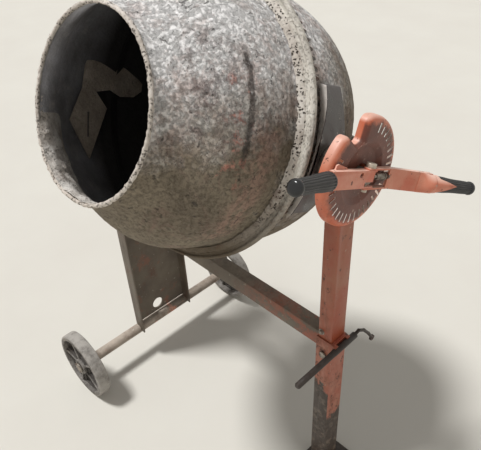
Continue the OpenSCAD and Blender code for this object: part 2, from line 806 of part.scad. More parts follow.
// A rubber grip with a bore for its tang, thicker where it starts.
module grip_shape() {
    rotate_extrude()
        polygon([[tang_d / 2 + lever_play / 2, 0], [grip_d / 2 - 2, 0], [grip_d / 2, 2],
                 [grip_d / 2, grip_length * 0.3], [grip_d / 2 - 0.8, grip_length * 0.55],
                 [grip_tip_d / 2, grip_length - 12], [grip_tip_d / 2 + 1.2, grip_length - 10],
                 [grip_tip_d / 2 + 1.2, grip_length - 4], [grip_tip_d / 2 - 3, grip_length],
                 [0, grip_length], [0, tang_length + 1], [tang_d / 2 + lever_play / 2, tang_length + 1]]);
}

module grip_near() {
    color([0.07, 0.07, 0.08])
    tilted() translate([tang_x, 0, near_length])
        rotate([0, near_lean, 0]) translate([0, 0, lever_thick]) grip_shape();
}

module grip_far() {
    color([0.07, 0.07, 0.08])
    tilted() translate([tang_x, 0, far_bend_s])
        rotate([0, 180 - far_lean, 0]) translate([0, 0, far_arm_length + lever_thick]) grip_shape();
}

// The curved plate that carries the trunnion at the post, with a flange along its front edge.
module saddle_post() {
    saddle_length = saddle_front_s - saddle_rear_s;
    saddle_seat = trunnion_flange_d / 2 + 12;
    color([0.20, 0.18, 0.17])
    on_drum()
    intersection() {
        difference() {
            union() {
                translate([0, 0, saddle_rear_s]) cylinder(h = saddle_length, r = saddle_outer_r);
                translate([-2, 5, saddle_front_s - saddle_thick * 0.7])
                    cylinder(h = saddle_thick * 0.7, r = saddle_outer_r + saddle_flange);
            }
            translate([0, 0, saddle_rear_s - 1]) cylinder(h = saddle_length + 2, r = saddle_r);
        }
        along_x(0, saddle_outer_r + 2 * saddle_flange)
            polygon([[-saddle_down, saddle_front_s], [saddle_up, saddle_front_s],
                     [saddle_up, saddle_rear_s + saddle_taper], [saddle_seat, saddle_rear_s],
                     [-saddle_seat, saddle_rear_s], [-saddle_down, saddle_rear_s + saddle_taper]]);
    }
}

// The flat cheek that carries the pinion, with a guard wall around the pinion that is open at the ring.
module saddle_drive() {
    color([0.20, 0.18, 0.17])
    tilted()
    difference() {
        union() {
            along_x(cheek_outer_x, cheek_thick) {
                circle(r = guard_r);
                translate([-yoke_width / 2, cheek_rear_s]) square([yoke_width, guard_r]);
            }
            along_x(cheek_x - 1, cheek_r - tooth_in_r + 1)
                difference() { circle(r = guard_r); circle(r = guard_r - guard_wall); }
        }
        translate([cheek_outer_x - 1, -2 * guard_r, saddle_front_s])
            cube([cheek_r, 4 * guard_r, guard_r]);
        rod_x(cheek_outer_x - 1, cheek_x + 1, pinion_shaft_d + 2 * running_gap);
    }
}

// The yoke's side view out to its inner face, grown by e. The post is at the right.
function yoke_area(e) = concat(
    [[saddle_r + 1 + e, bowl_start_s + 1]], bowl(saddle_r + 1 + e, bowl_start_s, yoke_s - e),
    [for (p = reversed(bowl(cheek_r + e, cheek_rear_s + 6, yoke_s - e))) [-p[0], p[1]]],
    [[-cheek_r - e, bowl_start_s + 1]]);

// The yoke bars: one bent channel under the drum that is open outwards, with the drum's hub.
module yoke() {
    color([0.22, 0.20, 0.18])
    on_drum()
    difference() {
        union() {
            difference() {
                slab(-yoke_width / 2, yoke_width / 2)
                    difference() { polygon(yoke_area(yoke_thick)); polygon(yoke_area(0)); }
                slab(-yoke_width / 2 + yoke_sheet, yoke_width / 2 - yoke_sheet)
                    difference() { polygon(yoke_area(2 * yoke_thick)); polygon(yoke_area(yoke_sheet)); }
                translate([0, -yoke_width, saddle_rear_s]) cube([2 * shell_r, 2 * yoke_width, 2 * shell_r]);
                translate([-2 * shell_r, -yoke_width, cheek_rear_s])
                    cube([2 * shell_r, 2 * yoke_width, 2 * shell_r]);
            }
            translate([0, 0, yoke_s + 4 - hub_length]) cylinder(h = hub_length, d = hub_d);
        }
        translate([0, 0, yoke_s - hub_length - 1])
            cylinder(h = 2 * hub_length, d = drum_spindle_d + 2 * running_gap);
    }
}

module trunnion_post() {
    color([0.45, 0.43, 0.40])
    difference() {
        union() {
            translate([0, 0, tilt_axis_z]) {
                difference() {
                    rod_x(trunnion_flange_x - 12, trunnion_flange_x + 5, trunnion_flange_d);
                    rotate([90 - drum_tilt, 0, 0]) translate([drum_centre_x, 0, -trunnion_flange_d])
                        cylinder(h = 2 * trunnion_flange_d, r = saddle_outer_r);
                }
                rod_x(trunnion_flange_x + 2, lever_back_x - 1, trunnion_d);
                rod_x(lever_back_x - 2, lever_face_x - lever_thick - 0.5, trunnion_d - 6);
            }
        }
        tilted() translate([handle_x, 0, 0]) rod_y(-trunnion_d, trunnion_d, handle_pin_d + lever_play);
    }
}

// A tube from the cheek through the upright. The pinion's shaft runs in it.
module trunnion_drive() {
    color([0.45, 0.43, 0.40])
    translate([0, 0, tilt_axis_z])
    difference() {
        union() {
            rod_x(cheek_outer_x - 8, cheek_outer_x, trunnion_flange_d);
            rod_x(housing_face_x - 40, cheek_outer_x - 2, drive_trunnion_d);
        }
        rod_x(housing_face_x - 41, cheek_outer_x + 1, pinion_shaft_d + 2 * running_gap);
    }
}

// Half angle of a pinion tooth at its foot, its pitch circle and its tip.
tooth_angle = tooth_half / pinion_r * 180 / PI;
pinion_flank = [[pinion_foot_r, tooth_angle + 1.1], [pinion_r, tooth_angle], [pinion_tip_r, tooth_angle - 2.1]];

// The pinion's outline, with a gap between two teeth towards the ring.
function pinion_outline() = [for (k = [0 : pinion_teeth - 1], c = [[0, -1], [1, -1], [2, -1], [2, 1], [1, 1], [0, 1]])
    let (f = pinion_flank[c[0]], a = 90 + 360 * (k + 0.5) / pinion_teeth + c[1] * f[1])
    [f[0] * cos(a), f[0] * sin(a)]];

module pinion() {
    pinion_x = drum_centre_x - tooth_out_r + 1;
    color([0.34, 0.33, 0.31])
    tilted() {
        along_x(pinion_x, tooth_out_r - tooth_in_r - 1) polygon(pinion_outline());
        rod_x(cheek_x + 0.3, pinion_x + 1, pinion_shaft_d + 18);
        rod_x(cheek_outer_x - 40, pinion_x + 2, pinion_shaft_d);
    }
}

// A tray that the upright closes, with a seam band for its cover and slots in its floor.
module housing() {
    rear_x = housing_face_x - housing_depth;
    color([0.72, 0.33, 0.22])
    difference() {
        union() {
            translate([0, -housing_width / 2, housing_bottom_z])
                along_x(rear_x, housing_depth) polygon(rounded(housing_width, housing_height, housing_round));
            translate([0, -housing_width / 2 - 2, housing_bottom_z - 2])
                along_x(housing_face_x - housing_depth * 0.5, 9)
                    polygon(rounded(housing_width + 4, housing_height + 4, housing_round + 2));
        }
        translate([0, -housing_width / 2 + housing_wall, housing_bottom_z + housing_wall])
            along_x(rear_x + housing_wall, housing_depth)
                polygon(rounded(housing_width - 2 * housing_wall, housing_height - 2 * housing_wall,
                                housing_round - housing_wall));
        for (i = [0 : 4])
            translate([rear_x + 14 + 10 * i, -motor_width / 3, housing_bottom_z - 5])
                cube([5, motor_width * 2 / 3, 10]);
    }
}

module motor() {
    color([0.35, 0.36, 0.38])
    translate([housing_face_x - motor_length, -motor_width / 2, housing_bottom_z + housing_wall])
        cube([motor_length, motor_width, motor_height]);
}

module drum_front() {
    color([0.50, 0.46, 0.42])
    on_drum() {
        rotate_extrude()
            polygon(concat([[shell_r - 1, seam_s]], front(0),
                           [[mouth_r, mouth_s - rim_bead_r], [mouth_r - drum_wall, mouth_s - rim_bead_r]],
                           reversed(front(drum_wall)), [[shell_r - 1 - drum_wall, seam_s]]));
        translate([0, 0, mouth_s - rim_bead_r])
            rotate_extrude() translate([mouth_r - drum_wall / 2, 0]) circle(r = rim_bead_r, $fn = 24);
    }
}

module drum_rear() {
    color([0.47, 0.43, 0.39])
    on_drum() rotate_extrude()
        polygon(concat([[shell_r, seam_s]], bowl(shell_r, bowl_start_s, bottom_s), [[0, bottom_s], [0, bottom_s + drum_wall]],
                       reversed(bowl(shell_r - drum_wall, bowl_start_s, bottom_s + drum_wall)),
                       [[shell_r - drum_wall, seam_s]]));
}

// The drum's free inside, grown by e, as a solid of revolution.
module cavity(e) {
    rotate_extrude()
        polygon(concat([[0, neck_s], [mouth_r - drum_wall + e, neck_s]], reversed(front(drum_wall - e)),
                       [[shell_r - drum_wall + e - 1, seam_s]],
                       bowl(shell_r - drum_wall + e, bowl_start_s, bottom_s + drum_wall - e),
                       [[0, bottom_s + drum_wall - e]]));
}

// A blade's outline in parts of its length and width: a diamond, a neck and a wing behind it.
blade_outline = [[0.41, -0.02], [0.08, 0.23], [-0.2, 0.07], [-0.46, 0.02], [-0.5, -0.15], [-0.56, -0.43],
                 [-0.6, -0.7], [-0.48, -0.8], [-0.23, -0.76], [-0.17, -0.64], [-0.16, -0.45],
                 [-0.21, -0.3], [-0.18, -0.1], [-0.04, -0.25]];

// One mixing blade: a flat plate that leans over the shell and ends on it.
module blade_at(turn) {
    color([0.36, 0.33, 0.30])
    on_drum()
    intersection() {
        rotate([0, 0, turn]) translate([shell_r - blade_inset, 0, blade_s]) rotate([0, -blade_lean, 0])
            along_x(0, blade_thick)
                difference() {
                    polygon([for (p = blade_outline) [p[0] * blade_length, p[1] * blade_width]]);
                    translate([0, -4]) square([blade_slot, 7]);
                }
        cavity(-0.3);
    }
}

module blade_1() { blade_at(196); }
module blade_2() { blade_at(316); }
module blade_3() { blade_at(76); }

// A radial prism with the section of one tooth, its tip towards the drum's bottom.
module ring_tooth() {
    tip_half = tooth_half - tooth_tip * tan(20);
    foot_half = tooth_half + tooth_foot * tan(20);
    along_x(tooth_in_r, tooth_out_r - tooth_in_r)
        polygon([[-foot_half, ring_back_s + 0.5], [-foot_half, ring_back_s], [-tip_half, tooth_tip_s],
                 [tip_half, tooth_tip_s], [foot_half, ring_back_s], [foot_half, ring_back_s + 0.5]]);
}

// The cast ring around the drum's seam: two ribs on its front, teeth on its back.
module drum_band() {
    color([0.62, 0.59, 0.54])
    on_drum() {
        rotate_extrude()
            polygon([[shell_r, ring_back_s], [shell_r, ring_front_s], [shell_r + 4, ring_front_s],
                     [shell_r + 5, ring_front_s + ring_rib], [shell_r + 8, ring_front_s + ring_rib],
                     [shell_r + 9, ring_front_s], [ring_r - 7, ring_front_s],
                     [ring_r - 6, ring_front_s + ring_rib], [ring_r - 3, ring_front_s + ring_rib],
                     [ring_r, ring_front_s - 3], [ring_r, ring_back_s]]);
        for (i = [0 : ring_teeth - 1])
            rotate([0, 0, 360 * i / ring_teeth]) ring_tooth();
    }
}

module drum_spindle() {
    washer_s = yoke_s + 4 - hub_length - 0.5;
    color([0.45, 0.43, 0.40])
    on_drum() {
        translate([0, 0, bottom_s - spindle_flange_t]) cylinder(h = spindle_flange_t, d = spindle_flange_d);
        translate([0, 0, washer_s - 9]) cylinder(h = bottom_s - 4 - washer_s + 9, d = drum_spindle_d);
        translate([0, 0, washer_s - 5]) cylinder(h = 5, d = drum_spindle_d + 18);
    }
}

upright();
axle();
wheel_near();
wheel_far();
keeper_near();
keeper_far();
beam();
post();
leg();
leg_pin();
foot();
lift_bar();
bar_hook();
bar_bracket();
tilt_disc();
lever();
far_arm();
handle_pin();
catch();
grip_near();
grip_far();
saddle_post();
saddle_drive();
yoke();
trunnion_post();
trunnion_drive();
pinion();
housing();
motor();
drum_front();
drum_rear();
drum_band();
drum_spindle();
blade_1();
blade_2();
blade_3();
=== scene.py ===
import json
import math

import bpy
from mathutils import Matrix, Vector

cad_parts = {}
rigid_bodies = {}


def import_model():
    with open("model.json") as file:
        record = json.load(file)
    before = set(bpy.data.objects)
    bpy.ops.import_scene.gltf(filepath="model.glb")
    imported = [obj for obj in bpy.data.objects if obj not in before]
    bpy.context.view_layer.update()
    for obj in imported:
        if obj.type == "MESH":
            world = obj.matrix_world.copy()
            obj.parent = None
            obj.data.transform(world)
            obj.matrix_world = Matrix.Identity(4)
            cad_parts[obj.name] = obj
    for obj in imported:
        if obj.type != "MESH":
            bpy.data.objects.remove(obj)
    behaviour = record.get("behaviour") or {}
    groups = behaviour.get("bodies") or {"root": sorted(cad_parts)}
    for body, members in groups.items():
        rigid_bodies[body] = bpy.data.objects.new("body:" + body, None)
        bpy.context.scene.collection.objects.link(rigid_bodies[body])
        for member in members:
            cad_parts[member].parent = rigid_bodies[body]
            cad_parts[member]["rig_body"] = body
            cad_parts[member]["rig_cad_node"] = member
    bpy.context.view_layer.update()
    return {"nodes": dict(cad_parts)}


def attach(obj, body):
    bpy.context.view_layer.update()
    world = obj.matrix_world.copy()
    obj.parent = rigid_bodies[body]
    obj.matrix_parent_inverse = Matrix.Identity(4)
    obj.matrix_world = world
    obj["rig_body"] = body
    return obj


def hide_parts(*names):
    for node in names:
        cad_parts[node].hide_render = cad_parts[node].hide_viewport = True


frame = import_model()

print("frame loaded,", len(frame["nodes"]), "nodes")

# The tilted frame of the drum: z runs to the mouth, x is the tilt axis, y the normal
mixer = {"tilt": 23.6, "axisHeight": 0.971, "discRise": 0.004, "drumX": -0.325, "postFaceX": 0.0185,
         "shellRadius": 0.280, "mouthRadius": 0.176, "seam": 0.089, "mouth": 0.343, "bottom": -0.210}
tiltPlace = (Matrix.Translation((0, 0, mixer["axisHeight"]))
             @ Matrix.Rotation(math.radians(90 - mixer["tilt"]), 4, "X"))
drumPlace = tiltPlace @ Matrix.Translation((mixer["drumX"], 0, 0))
drumAxis = drumPlace.to_3x3() @ Vector((0, 0, 1))

# points closer than this are one point
mergeWithin = 0.00001


# Small helpers for picking up, placing and finishing pieces

def letGo():
    if bpy.context.object and bpy.context.object.mode != "OBJECT":
        leaveEdit()
    bpy.ops.object.select_all(action="DESELECT")


def pickUp(*pieces):
    letGo()
    for piece in pieces:
        piece.select_set(True)
    bpy.context.view_layer.objects.active = pieces[0]
    return pieces[0]


def editAll():
    bpy.ops.object.mode_set(mode="EDIT")
    bpy.ops.mesh.select_all(action="SELECT")


def leaveEdit():
    bpy.ops.object.mode_set(mode="OBJECT")


def facesOut():
    bpy.ops.mesh.select_all(action="SELECT")
    bpy.ops.mesh.normals_make_consistent(inside=False)


def applied(piece, kind, **settings):
    pickUp(piece)
    step = piece.modifiers.new(kind.lower(), kind)
    for name, value in settings.items():
        setattr(step, name, value)
    bpy.ops.object.modifier_apply(modifier=step.name)
    return piece


def settled(piece):
    # its place, turn and size go into the mesh
    bpy.ops.object.transform_apply(location=True, rotation=True, scale=True)
    return piece


def placed(piece, place):
    pickUp(piece)
    bpy.context.view_layer.update()
    piece.matrix_world = place @ piece.matrix_world
    return settled(piece)


def joined(name, pieces):
    pickUp(*pieces)
    if len(pieces) > 1:
        bpy.ops.object.join()
    pieces[0].name = name
    return pieces[0]


def copied(piece):
    pickUp(piece)
    bpy.ops.object.duplicate(linked=False)
    return bpy.context.object


def ownCopy(node, name):
    # a copy of a CAD node that is a piece of its own
    piece = copied(frame["nodes"][node])
    piece.name = name
    piece.parent = None
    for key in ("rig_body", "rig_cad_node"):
        if key in piece:
            del piece[key]
    return piece


def given(piece, *finishes):
    for finish in finishes:
        piece.data.materials.append(finish)
    return piece


def smoothed(piece, angle=35):
    pickUp(piece)
    bpy.ops.object.shade_smooth_by_angle(angle=math.radians(angle))
    return piece


def finished(piece, body, slot, *finishes, replaces=(), angle=35):
    smoothed(piece, angle)
    if finishes:
        piece.data.materials.clear()
        given(piece, *finishes)
    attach(piece, body)
    if replaces:
        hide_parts(*replaces)
    return piece


def towards(point, direction):
    # the place of a piece drawn along z that starts at point and looks in direction
    turn = Vector(direction).normalized().to_track_quat("Z", "Y").to_matrix().to_4x4()
    return Matrix.Translation(point) @ turn


def selectBy(piece, members, mode, wanted):
    leaveEdit()
    for part in (piece.data.vertices, piece.data.edges, piece.data.polygons):
        part.foreach_set("select", [False] * len(part))
    for member in members:
        member.select = wanted(member)
    bpy.ops.object.mode_set(mode="EDIT")
    bpy.ops.mesh.select_mode(type=mode)


def selectFaces(piece, wanted):
    # in edit mode: only the faces for which wanted(face) holds stay selected
    selectBy(piece, piece.data.polygons, "FACE", wanted)


def selectPoints(piece, wanted):
    selectBy(piece, piece.data.vertices, "VERT", lambda point: wanted(point.co))


def drawn(name, points):
    # a line is drawn point by point, and stays selected in edit mode
    letGo()
    bpy.ops.mesh.primitive_plane_add(size=0.001, location=(0, 0, 0))
    piece = bpy.context.object
    piece.name = name
    bpy.ops.object.mode_set(mode="EDIT")
    bpy.ops.mesh.select_mode(type="VERT")
    bpy.ops.mesh.merge(type="CENTER")
    bpy.ops.transform.translate(value=points[0])
    for here, there in zip(points, points[1:]):
        way = tuple(b - a for a, b in zip(here, there))
        bpy.ops.mesh.extrude_region_move(TRANSFORM_OT_translate={"value": way})
    bpy.ops.mesh.select_all(action="SELECT")
    return piece


def turned(name, outline, steps=96, arc=360.0):
    # an outline in (radius, height) is drawn and spun about z, as on a lathe
    piece = drawn(name, [(radius, 0, height) for radius, height in outline])
    bpy.ops.mesh.spin(steps=steps, angle=math.radians(arc), center=(0, 0, 0), axis=(0, 0, 1))
    bpy.ops.mesh.select_all(action="SELECT")
    bpy.ops.mesh.remove_doubles(threshold=mergeWithin)
    facesOut()
    leaveEdit()
    return piece


def roughened(piece, name, size, depth, group=None, middle=0.5, detail=2):
    # the surface moves in and out by noise; the noise value that is called middle leaves it in place
    grain = bpy.data.textures.new(name, "CLOUDS")
    grain.noise_scale = size
    grain.noise_depth = detail
    settings = {"texture": grain, "texture_coords": "LOCAL", "strength": depth, "mid_level": middle}
    if group:
        settings["vertex_group"] = group
    return applied(piece, "DISPLACE", **settings)


def pointGroup(piece, name, weight):
    group = piece.vertex_groups.new(name=name)
    for point in piece.data.vertices:
        value = weight(point.co)
        if value > 0:
            group.add([point.index], min(value, 1.0), "REPLACE")
    return name


def screen(red, green, blue):
    # a colour as it is read off a screen, 0 to 255
    steps = [value / 255 for value in (red, green, blue)]
    return tuple(v / 12.92 if v <= 0.04045 else ((v + 0.055) / 1.055) ** 2.4 for v in steps) + (1.0,)


# Small helpers for finishes

def startFinish(name, roughness, metallic=0.0):
    finish = bpy.data.materials.new(name)
    finish.use_nodes = True
    shader = finish.node_tree.nodes["Principled BSDF"]
    shader.inputs["Roughness"].default_value = roughness
    shader.inputs["Metallic"].default_value = metallic
    place = finish.node_tree.nodes.new("ShaderNodeTexCoord").outputs["Object"]
    return finish, shader, place


def isSocket(value):
    return isinstance(value, bpy.types.NodeSocket)


def addNode(kind, inputs, tree=None, **settings):
    # without a tree of its own the node goes where the sockets come from
    tree = tree or next(value.id_data for value in inputs.values() if isSocket(value))
    node = tree.nodes.new(kind)
    for name, value in settings.items():
        setattr(node, name, value)
    for name, value in inputs.items():
        if isSocket(value):
            tree.links.new(value, node.inputs[name])
        else:
            node.inputs[name].default_value = value
    return node


def ranged(value, low, high, least=0.0, most=1.0):
    # least at low and most at high, with a straight slope between them
    return addNode("ShaderNodeMapRange", {"Value": value, "From Min": low, "From Max": high, "To Min": least,
                                          "To Max": most}).outputs["Result"]


def cloudy(place, scale, low=0.4, high=0.6, detail=5.0, rough=0.6, stretch=None, warp=0.0):
    # noise, drawn apart so that it is 0 up to low and 1 from high on
    if stretch:
        place = addNode("ShaderNodeMapping", {"Vector": place, "Scale": stretch}).outputs["Vector"]
    noise = addNode("ShaderNodeTexNoise", {"Vector": place, "Scale": scale, "Detail": detail,
                                           "Roughness": rough, "Distortion": warp})
    return ranged(noise.outputs["Fac"], low, high)


def pitted(place, scale, low, high, wobble=0.0):
    # round pits: 1 in a pit's middle and 0 outside it
    if wobble:
        noise = addNode("ShaderNodeTexNoise", {"Vector": place, "Scale": scale * 0.6, "Detail": 3.0})
        place = addNode("ShaderNodeMix", {0: wobble, 4: place, 5: noise.outputs["Color"]},
                        data_type="VECTOR").outputs[1]
    cells = addNode("ShaderNodeTexVoronoi", {"Vector": place, "Scale": scale})
    return ranged(cells.outputs["Distance"], high, low)


def counted(operation, first, second=0.0):
    return addNode("ShaderNodeMath", {0: first, 1: second}, operation=operation).outputs[0]


def times(first, second):
    return counted("MULTIPLY", first, second)


def plus(first, second):
    return counted("ADD", first, second)


def minus(first, second):
    return counted("SUBTRACT", first, second)


def mixed(amount, first, second, blend="MIX"):
    # each colour is a socket, or red, green and blue as in the tables
    first, second = (colour if isSocket(colour) else screen(*colour) for colour in (first, second))
    return addNode("ShaderNodeMix", {0: amount, 6: first, 7: second}, data_type="RGBA",
                   blend_type=blend).outputs[2]


def layered(skin, colour, where, strength, blend="MIX"):
    # a colour over the skin where the pattern is, at this strength
    return mixed(times(where, strength), skin, colour, blend)


def along(place, axis):
    return addNode("ShaderNodeSeparateXYZ", {"Vector": place}).outputs[axis]


def facing(place, axis):
    # how far a face looks this way
    return along(addNode("ShaderNodeNewGeometry", {}, place.id_data).outputs["Normal"], axis)


def reachOf(first, second):
    return counted("SQRT", plus(counted("POWER", first, 2.0), counted("POWER", second, 2.0)))


def embossed(shader, *heights):
    # each height is a socket, how far it stands out in metres, and how strongly it shows
    normal = None
    for height, distance, strength in heights:
        inputs = {"Height": height, "Distance": distance, "Strength": strength}
        if normal:
            inputs["Normal"] = normal
        normal = addNode("ShaderNodeBump", inputs).outputs["Normal"]
    shader.id_data.links.new(normal, shader.inputs["Normal"])


def wired(finish, shader, colour=None, roughness=None, metallic=None):
    for name, value in (("Base Color", colour), ("Roughness", roughness), ("Metallic", metallic)):
        if value is not None:
            shader.id_data.links.new(value, shader.inputs[name])
    return finish


# Finishes

# colours are red, green and blue from 0 to 255, as they are read off a screen

# shade and olive paint the lower drum darker and pale and top paint its upper part paler: painted shade and
# painted light, with pale dust on top; the two heights give where the one turns into the other
cementLook = {"shade": (122, 110, 93), "olive": (146, 134, 114), "pale": (220, 203, 196),
              "top": (255, 253, 251), "pit": (62, 53, 48), "brown": (150, 118, 108),
              "paintedShadeBelow": 1.02, "paintedLightFrom": 1.20}

# a stain, a wash, flakes and a scuff, laid over each other in this order: where they lie along the
# drum's axis in metres, and round it in radians from the post's side
drumMarks = [
    {"axis": (0.208, 0.285), "round": (0.0, 0.85), "colour": (126, 106, 102), "strength": 0.6,
     "soft": 0.010, "grain": 0.55},
    {"axis": (0.135, 0.190), "round": (-0.75, 0.22), "colour": (176, 142, 126), "strength": 0.6,
     "soft": 0.012, "grain": 0.5},
    {"axis": (0.190, 0.235), "round": (-0.25, 0.50), "colour": (214, 146, 128), "strength": 0.8,
     "soft": 0.006, "grain": 0.62},
    {"axis": (0.1955, 0.2055), "round": (-0.06, 0.66), "colour": (66, 56, 50), "strength": 0.8,
     "soft": 0.002, "grain": 0.42}]


def drumCoordinates(place):
    arm = addNode("ShaderNodeVectorMath", {0: place, 1: tuple(drumPlace.translation)}, operation="SUBTRACT")
    values = []
    for way in ((0, 0, 1), (1, 0, 0), (0, 1, 0)):
        turnedWay = tuple(drumPlace.to_3x3() @ Vector(way))
        values.append(addNode("ShaderNodeVectorMath", {0: arm.outputs["Vector"], 1: turnedWay},
                              operation="DOT_PRODUCT").outputs["Value"])
    return values[0], counted("ARCTAN2", values[2], values[1])


def patchOf(value, low, high, soft):
    # 1 between low and high, with soft ends
    return times(ranged(value, low - soft, low + soft), ranged(value, high + soft, high - soft))


def makeDrumCement():
    look = cementLook
    finish, shader, place = startFinish("drumCement", 0.88)
    axis, turn = drumCoordinates(place)
    broad = cloudy(place, 5.5, 0.38, 0.62, 7.0, 0.62)
    height = along(place, "Z")
    # darker below and paler with height: painted shade and painted light, with pale dust on top
    paintedLightLevel = ranged(height, look["paintedShadeBelow"], look["paintedLightFrom"])
    paintedLightLevel = plus(paintedLightLevel, times(minus(broad, 0.5), 0.6))
    # the rear is painted paler: painted light
    paintedLightLevel = plus(paintedLightLevel, ranged(axis, 0.08, 0.0, 0.0, 0.2))
    low = mixed(cloudy(place, 11, 0.35, 0.65), look["shade"], look["olive"])
    # towards the top the cement is painted near white: painted light
    patches = plus(cloudy(place, 21, 0.42, 0.56, 9.0, 0.8), ranged(height, 1.13, 1.24, 0.0, 0.55))
    high = mixed(patches, look["pale"], look["top"])
    skin = mixed(ranged(paintedLightLevel, 0.22, 0.88), low, high)
    ragged = minus(cloudy(place, 38, 0.2, 0.8, 7.0, 0.72), 0.5)
    for mark in drumMarks:
        here = patchOf(plus(axis, times(ragged, 0.016)), *mark["axis"], mark["soft"])
        here = times(here, patchOf(plus(turn, times(ragged, 0.2)), *mark["round"], 0.05))
        here = times(here, cloudy(place, 46, mark["grain"] - 0.08, mark["grain"] + 0.03, 8.0, 0.75))
        skin = layered(skin, mark["colour"], here, mark["strength"])
    fine = cloudy(place, 130, 0.47, 0.66, 6.0, 0.7)
    skin = mixed(times(fine, ranged(height, 1.10, 1.24, 0.36, 0.20)), skin, look["pit"], "MULTIPLY")
    stains = cloudy(place, 9, 0.54, 0.68, 8.0, 0.75, stretch=(1.0, 1.5, 0.6), warp=0.6)
    skin = layered(skin, look["brown"], stains, 0.55)
    scabs = cloudy(place, 44, 0.60, 0.64, 7.0, 0.7, warp=0.3)
    skin = layered(skin, look["pit"], scabs, 0.75)
    drops = cloudy(place, 75, 0.63, 0.69, 5.0, 0.65)
    skin = mixed(times(drops, times(ranged(paintedLightLevel, 0.2, 0.7), 0.55)), skin, look["top"])
    rough = times(fine, ranged(paintedLightLevel, 0.15, 0.6, 0.35, 1.0))
    embossed(shader, (rough, 0.0036, 1.0), (cloudy(place, 55, 0.3, 0.7, 6.0, 0.65), 0.0055, 0.9),
             (minus(1.0, scabs), 0.0012, 0.7))
    return wired(finish, shader, skin, ranged(fine, 0, 1, 0.78, 0.98))


# low is painted shade on the lower part of the cement
ringLook = {"pale": (232, 226, 217), "grey": (200, 191, 181), "low": (104, 92, 76),
            "pit": (66, 58, 50), "rust": (96, 66, 48)}


def makeRingCement(name="ringCement", holes=1.0, tone=None):
    look = dict(ringLook, **(tone or {}))
    finish, shader, place = startFinish(name, 0.9)
    # darker towards the bottom and paler above: painted shade and painted light
    paintedLightLevel = ranged(along(place, "Z"), 0.80, 1.02)
    patches = cloudy(place, 14, 0.4, 0.62, 7.0, 0.65)
    upper = mixed(patches, look["grey"], look["pale"])
    skin = mixed(paintedLightLevel, look["low"], upper)
    holesHere = pitted(place, 190, 0.26, 0.42, 0.010)
    holesHere = times(holesHere, cloudy(place, 34, 0.36, 0.50, 4.0, 0.6))
    holesHere = times(holesHere, ranged(paintedLightLevel, 0.1, 0.5, 0.25, 1.0))
    fine = cloudy(place, 160, 0.35, 0.65, 5.0, 0.7)
    skin = layered(skin, look["grey"], fine, 0.3, "MULTIPLY")
    skin = layered(skin, look["pit"], holesHere, holes)
    stains = cloudy(place, 10, 0.58, 0.68, 7.0, 0.7)
    skin = layered(skin, look["rust"], stains, 0.5)
    embossed(shader, (fine, 0.0010, 0.6), (minus(1.0, holesHere), 0.0025, 0.9), (patches, 0.0020, 0.4))
    return wired(finish, shader, skin, ranged(fine, 0, 1, 0.8, 0.98))


# the pale wall near the mouth is painted light, and deep is painted shade further in
insideLook = {"wall": (206, 206, 212), "damp": (150, 148, 150), "dust": (222, 216, 210),
              "deep": (30, 28, 27), "paintedShadeFrom": 0.13, "paintedLightFrom": 0.27}


def makeInsideCement():
    look = insideLook
    finish, shader, place = startFinish("insideCement", 0.8)
    broad = cloudy(place, 9, 0.36, 0.64, 7.0, 0.65)
    skin = mixed(broad, look["damp"], look["wall"])
    dust = cloudy(place, 26, 0.56, 0.70, 6.0, 0.7)
    skin = layered(skin, look["dust"], dust, 0.6)
    axis = drumCoordinates(place)[0]
    # near the mouth the wall is painted pale, painted light, and deeper in it is painted dark, painted shade
    skin = mixed(ranged(axis, look["paintedLightFrom"], look["paintedShadeFrom"]), skin, look["deep"])
    grain = cloudy(place, 120, 0.35, 0.65, 5.0, 0.7)
    embossed(shader, (grain, 0.0012, 0.6), (broad, 0.004, 0.5))
    return wired(finish, shader, skin, ranged(broad, 0, 1, 0.6, 0.92))


# the pale top colour is painted light on the faces that look up, with paint faded by sun and dust
paintLook = {"paint": (196, 98, 66), "faded": (206, 134, 108), "dirt": (112, 74, 56),
             "rust": (84, 52, 40), "cement": (176, 164, 150), "fadedAndLitTop": (248, 208, 190)}


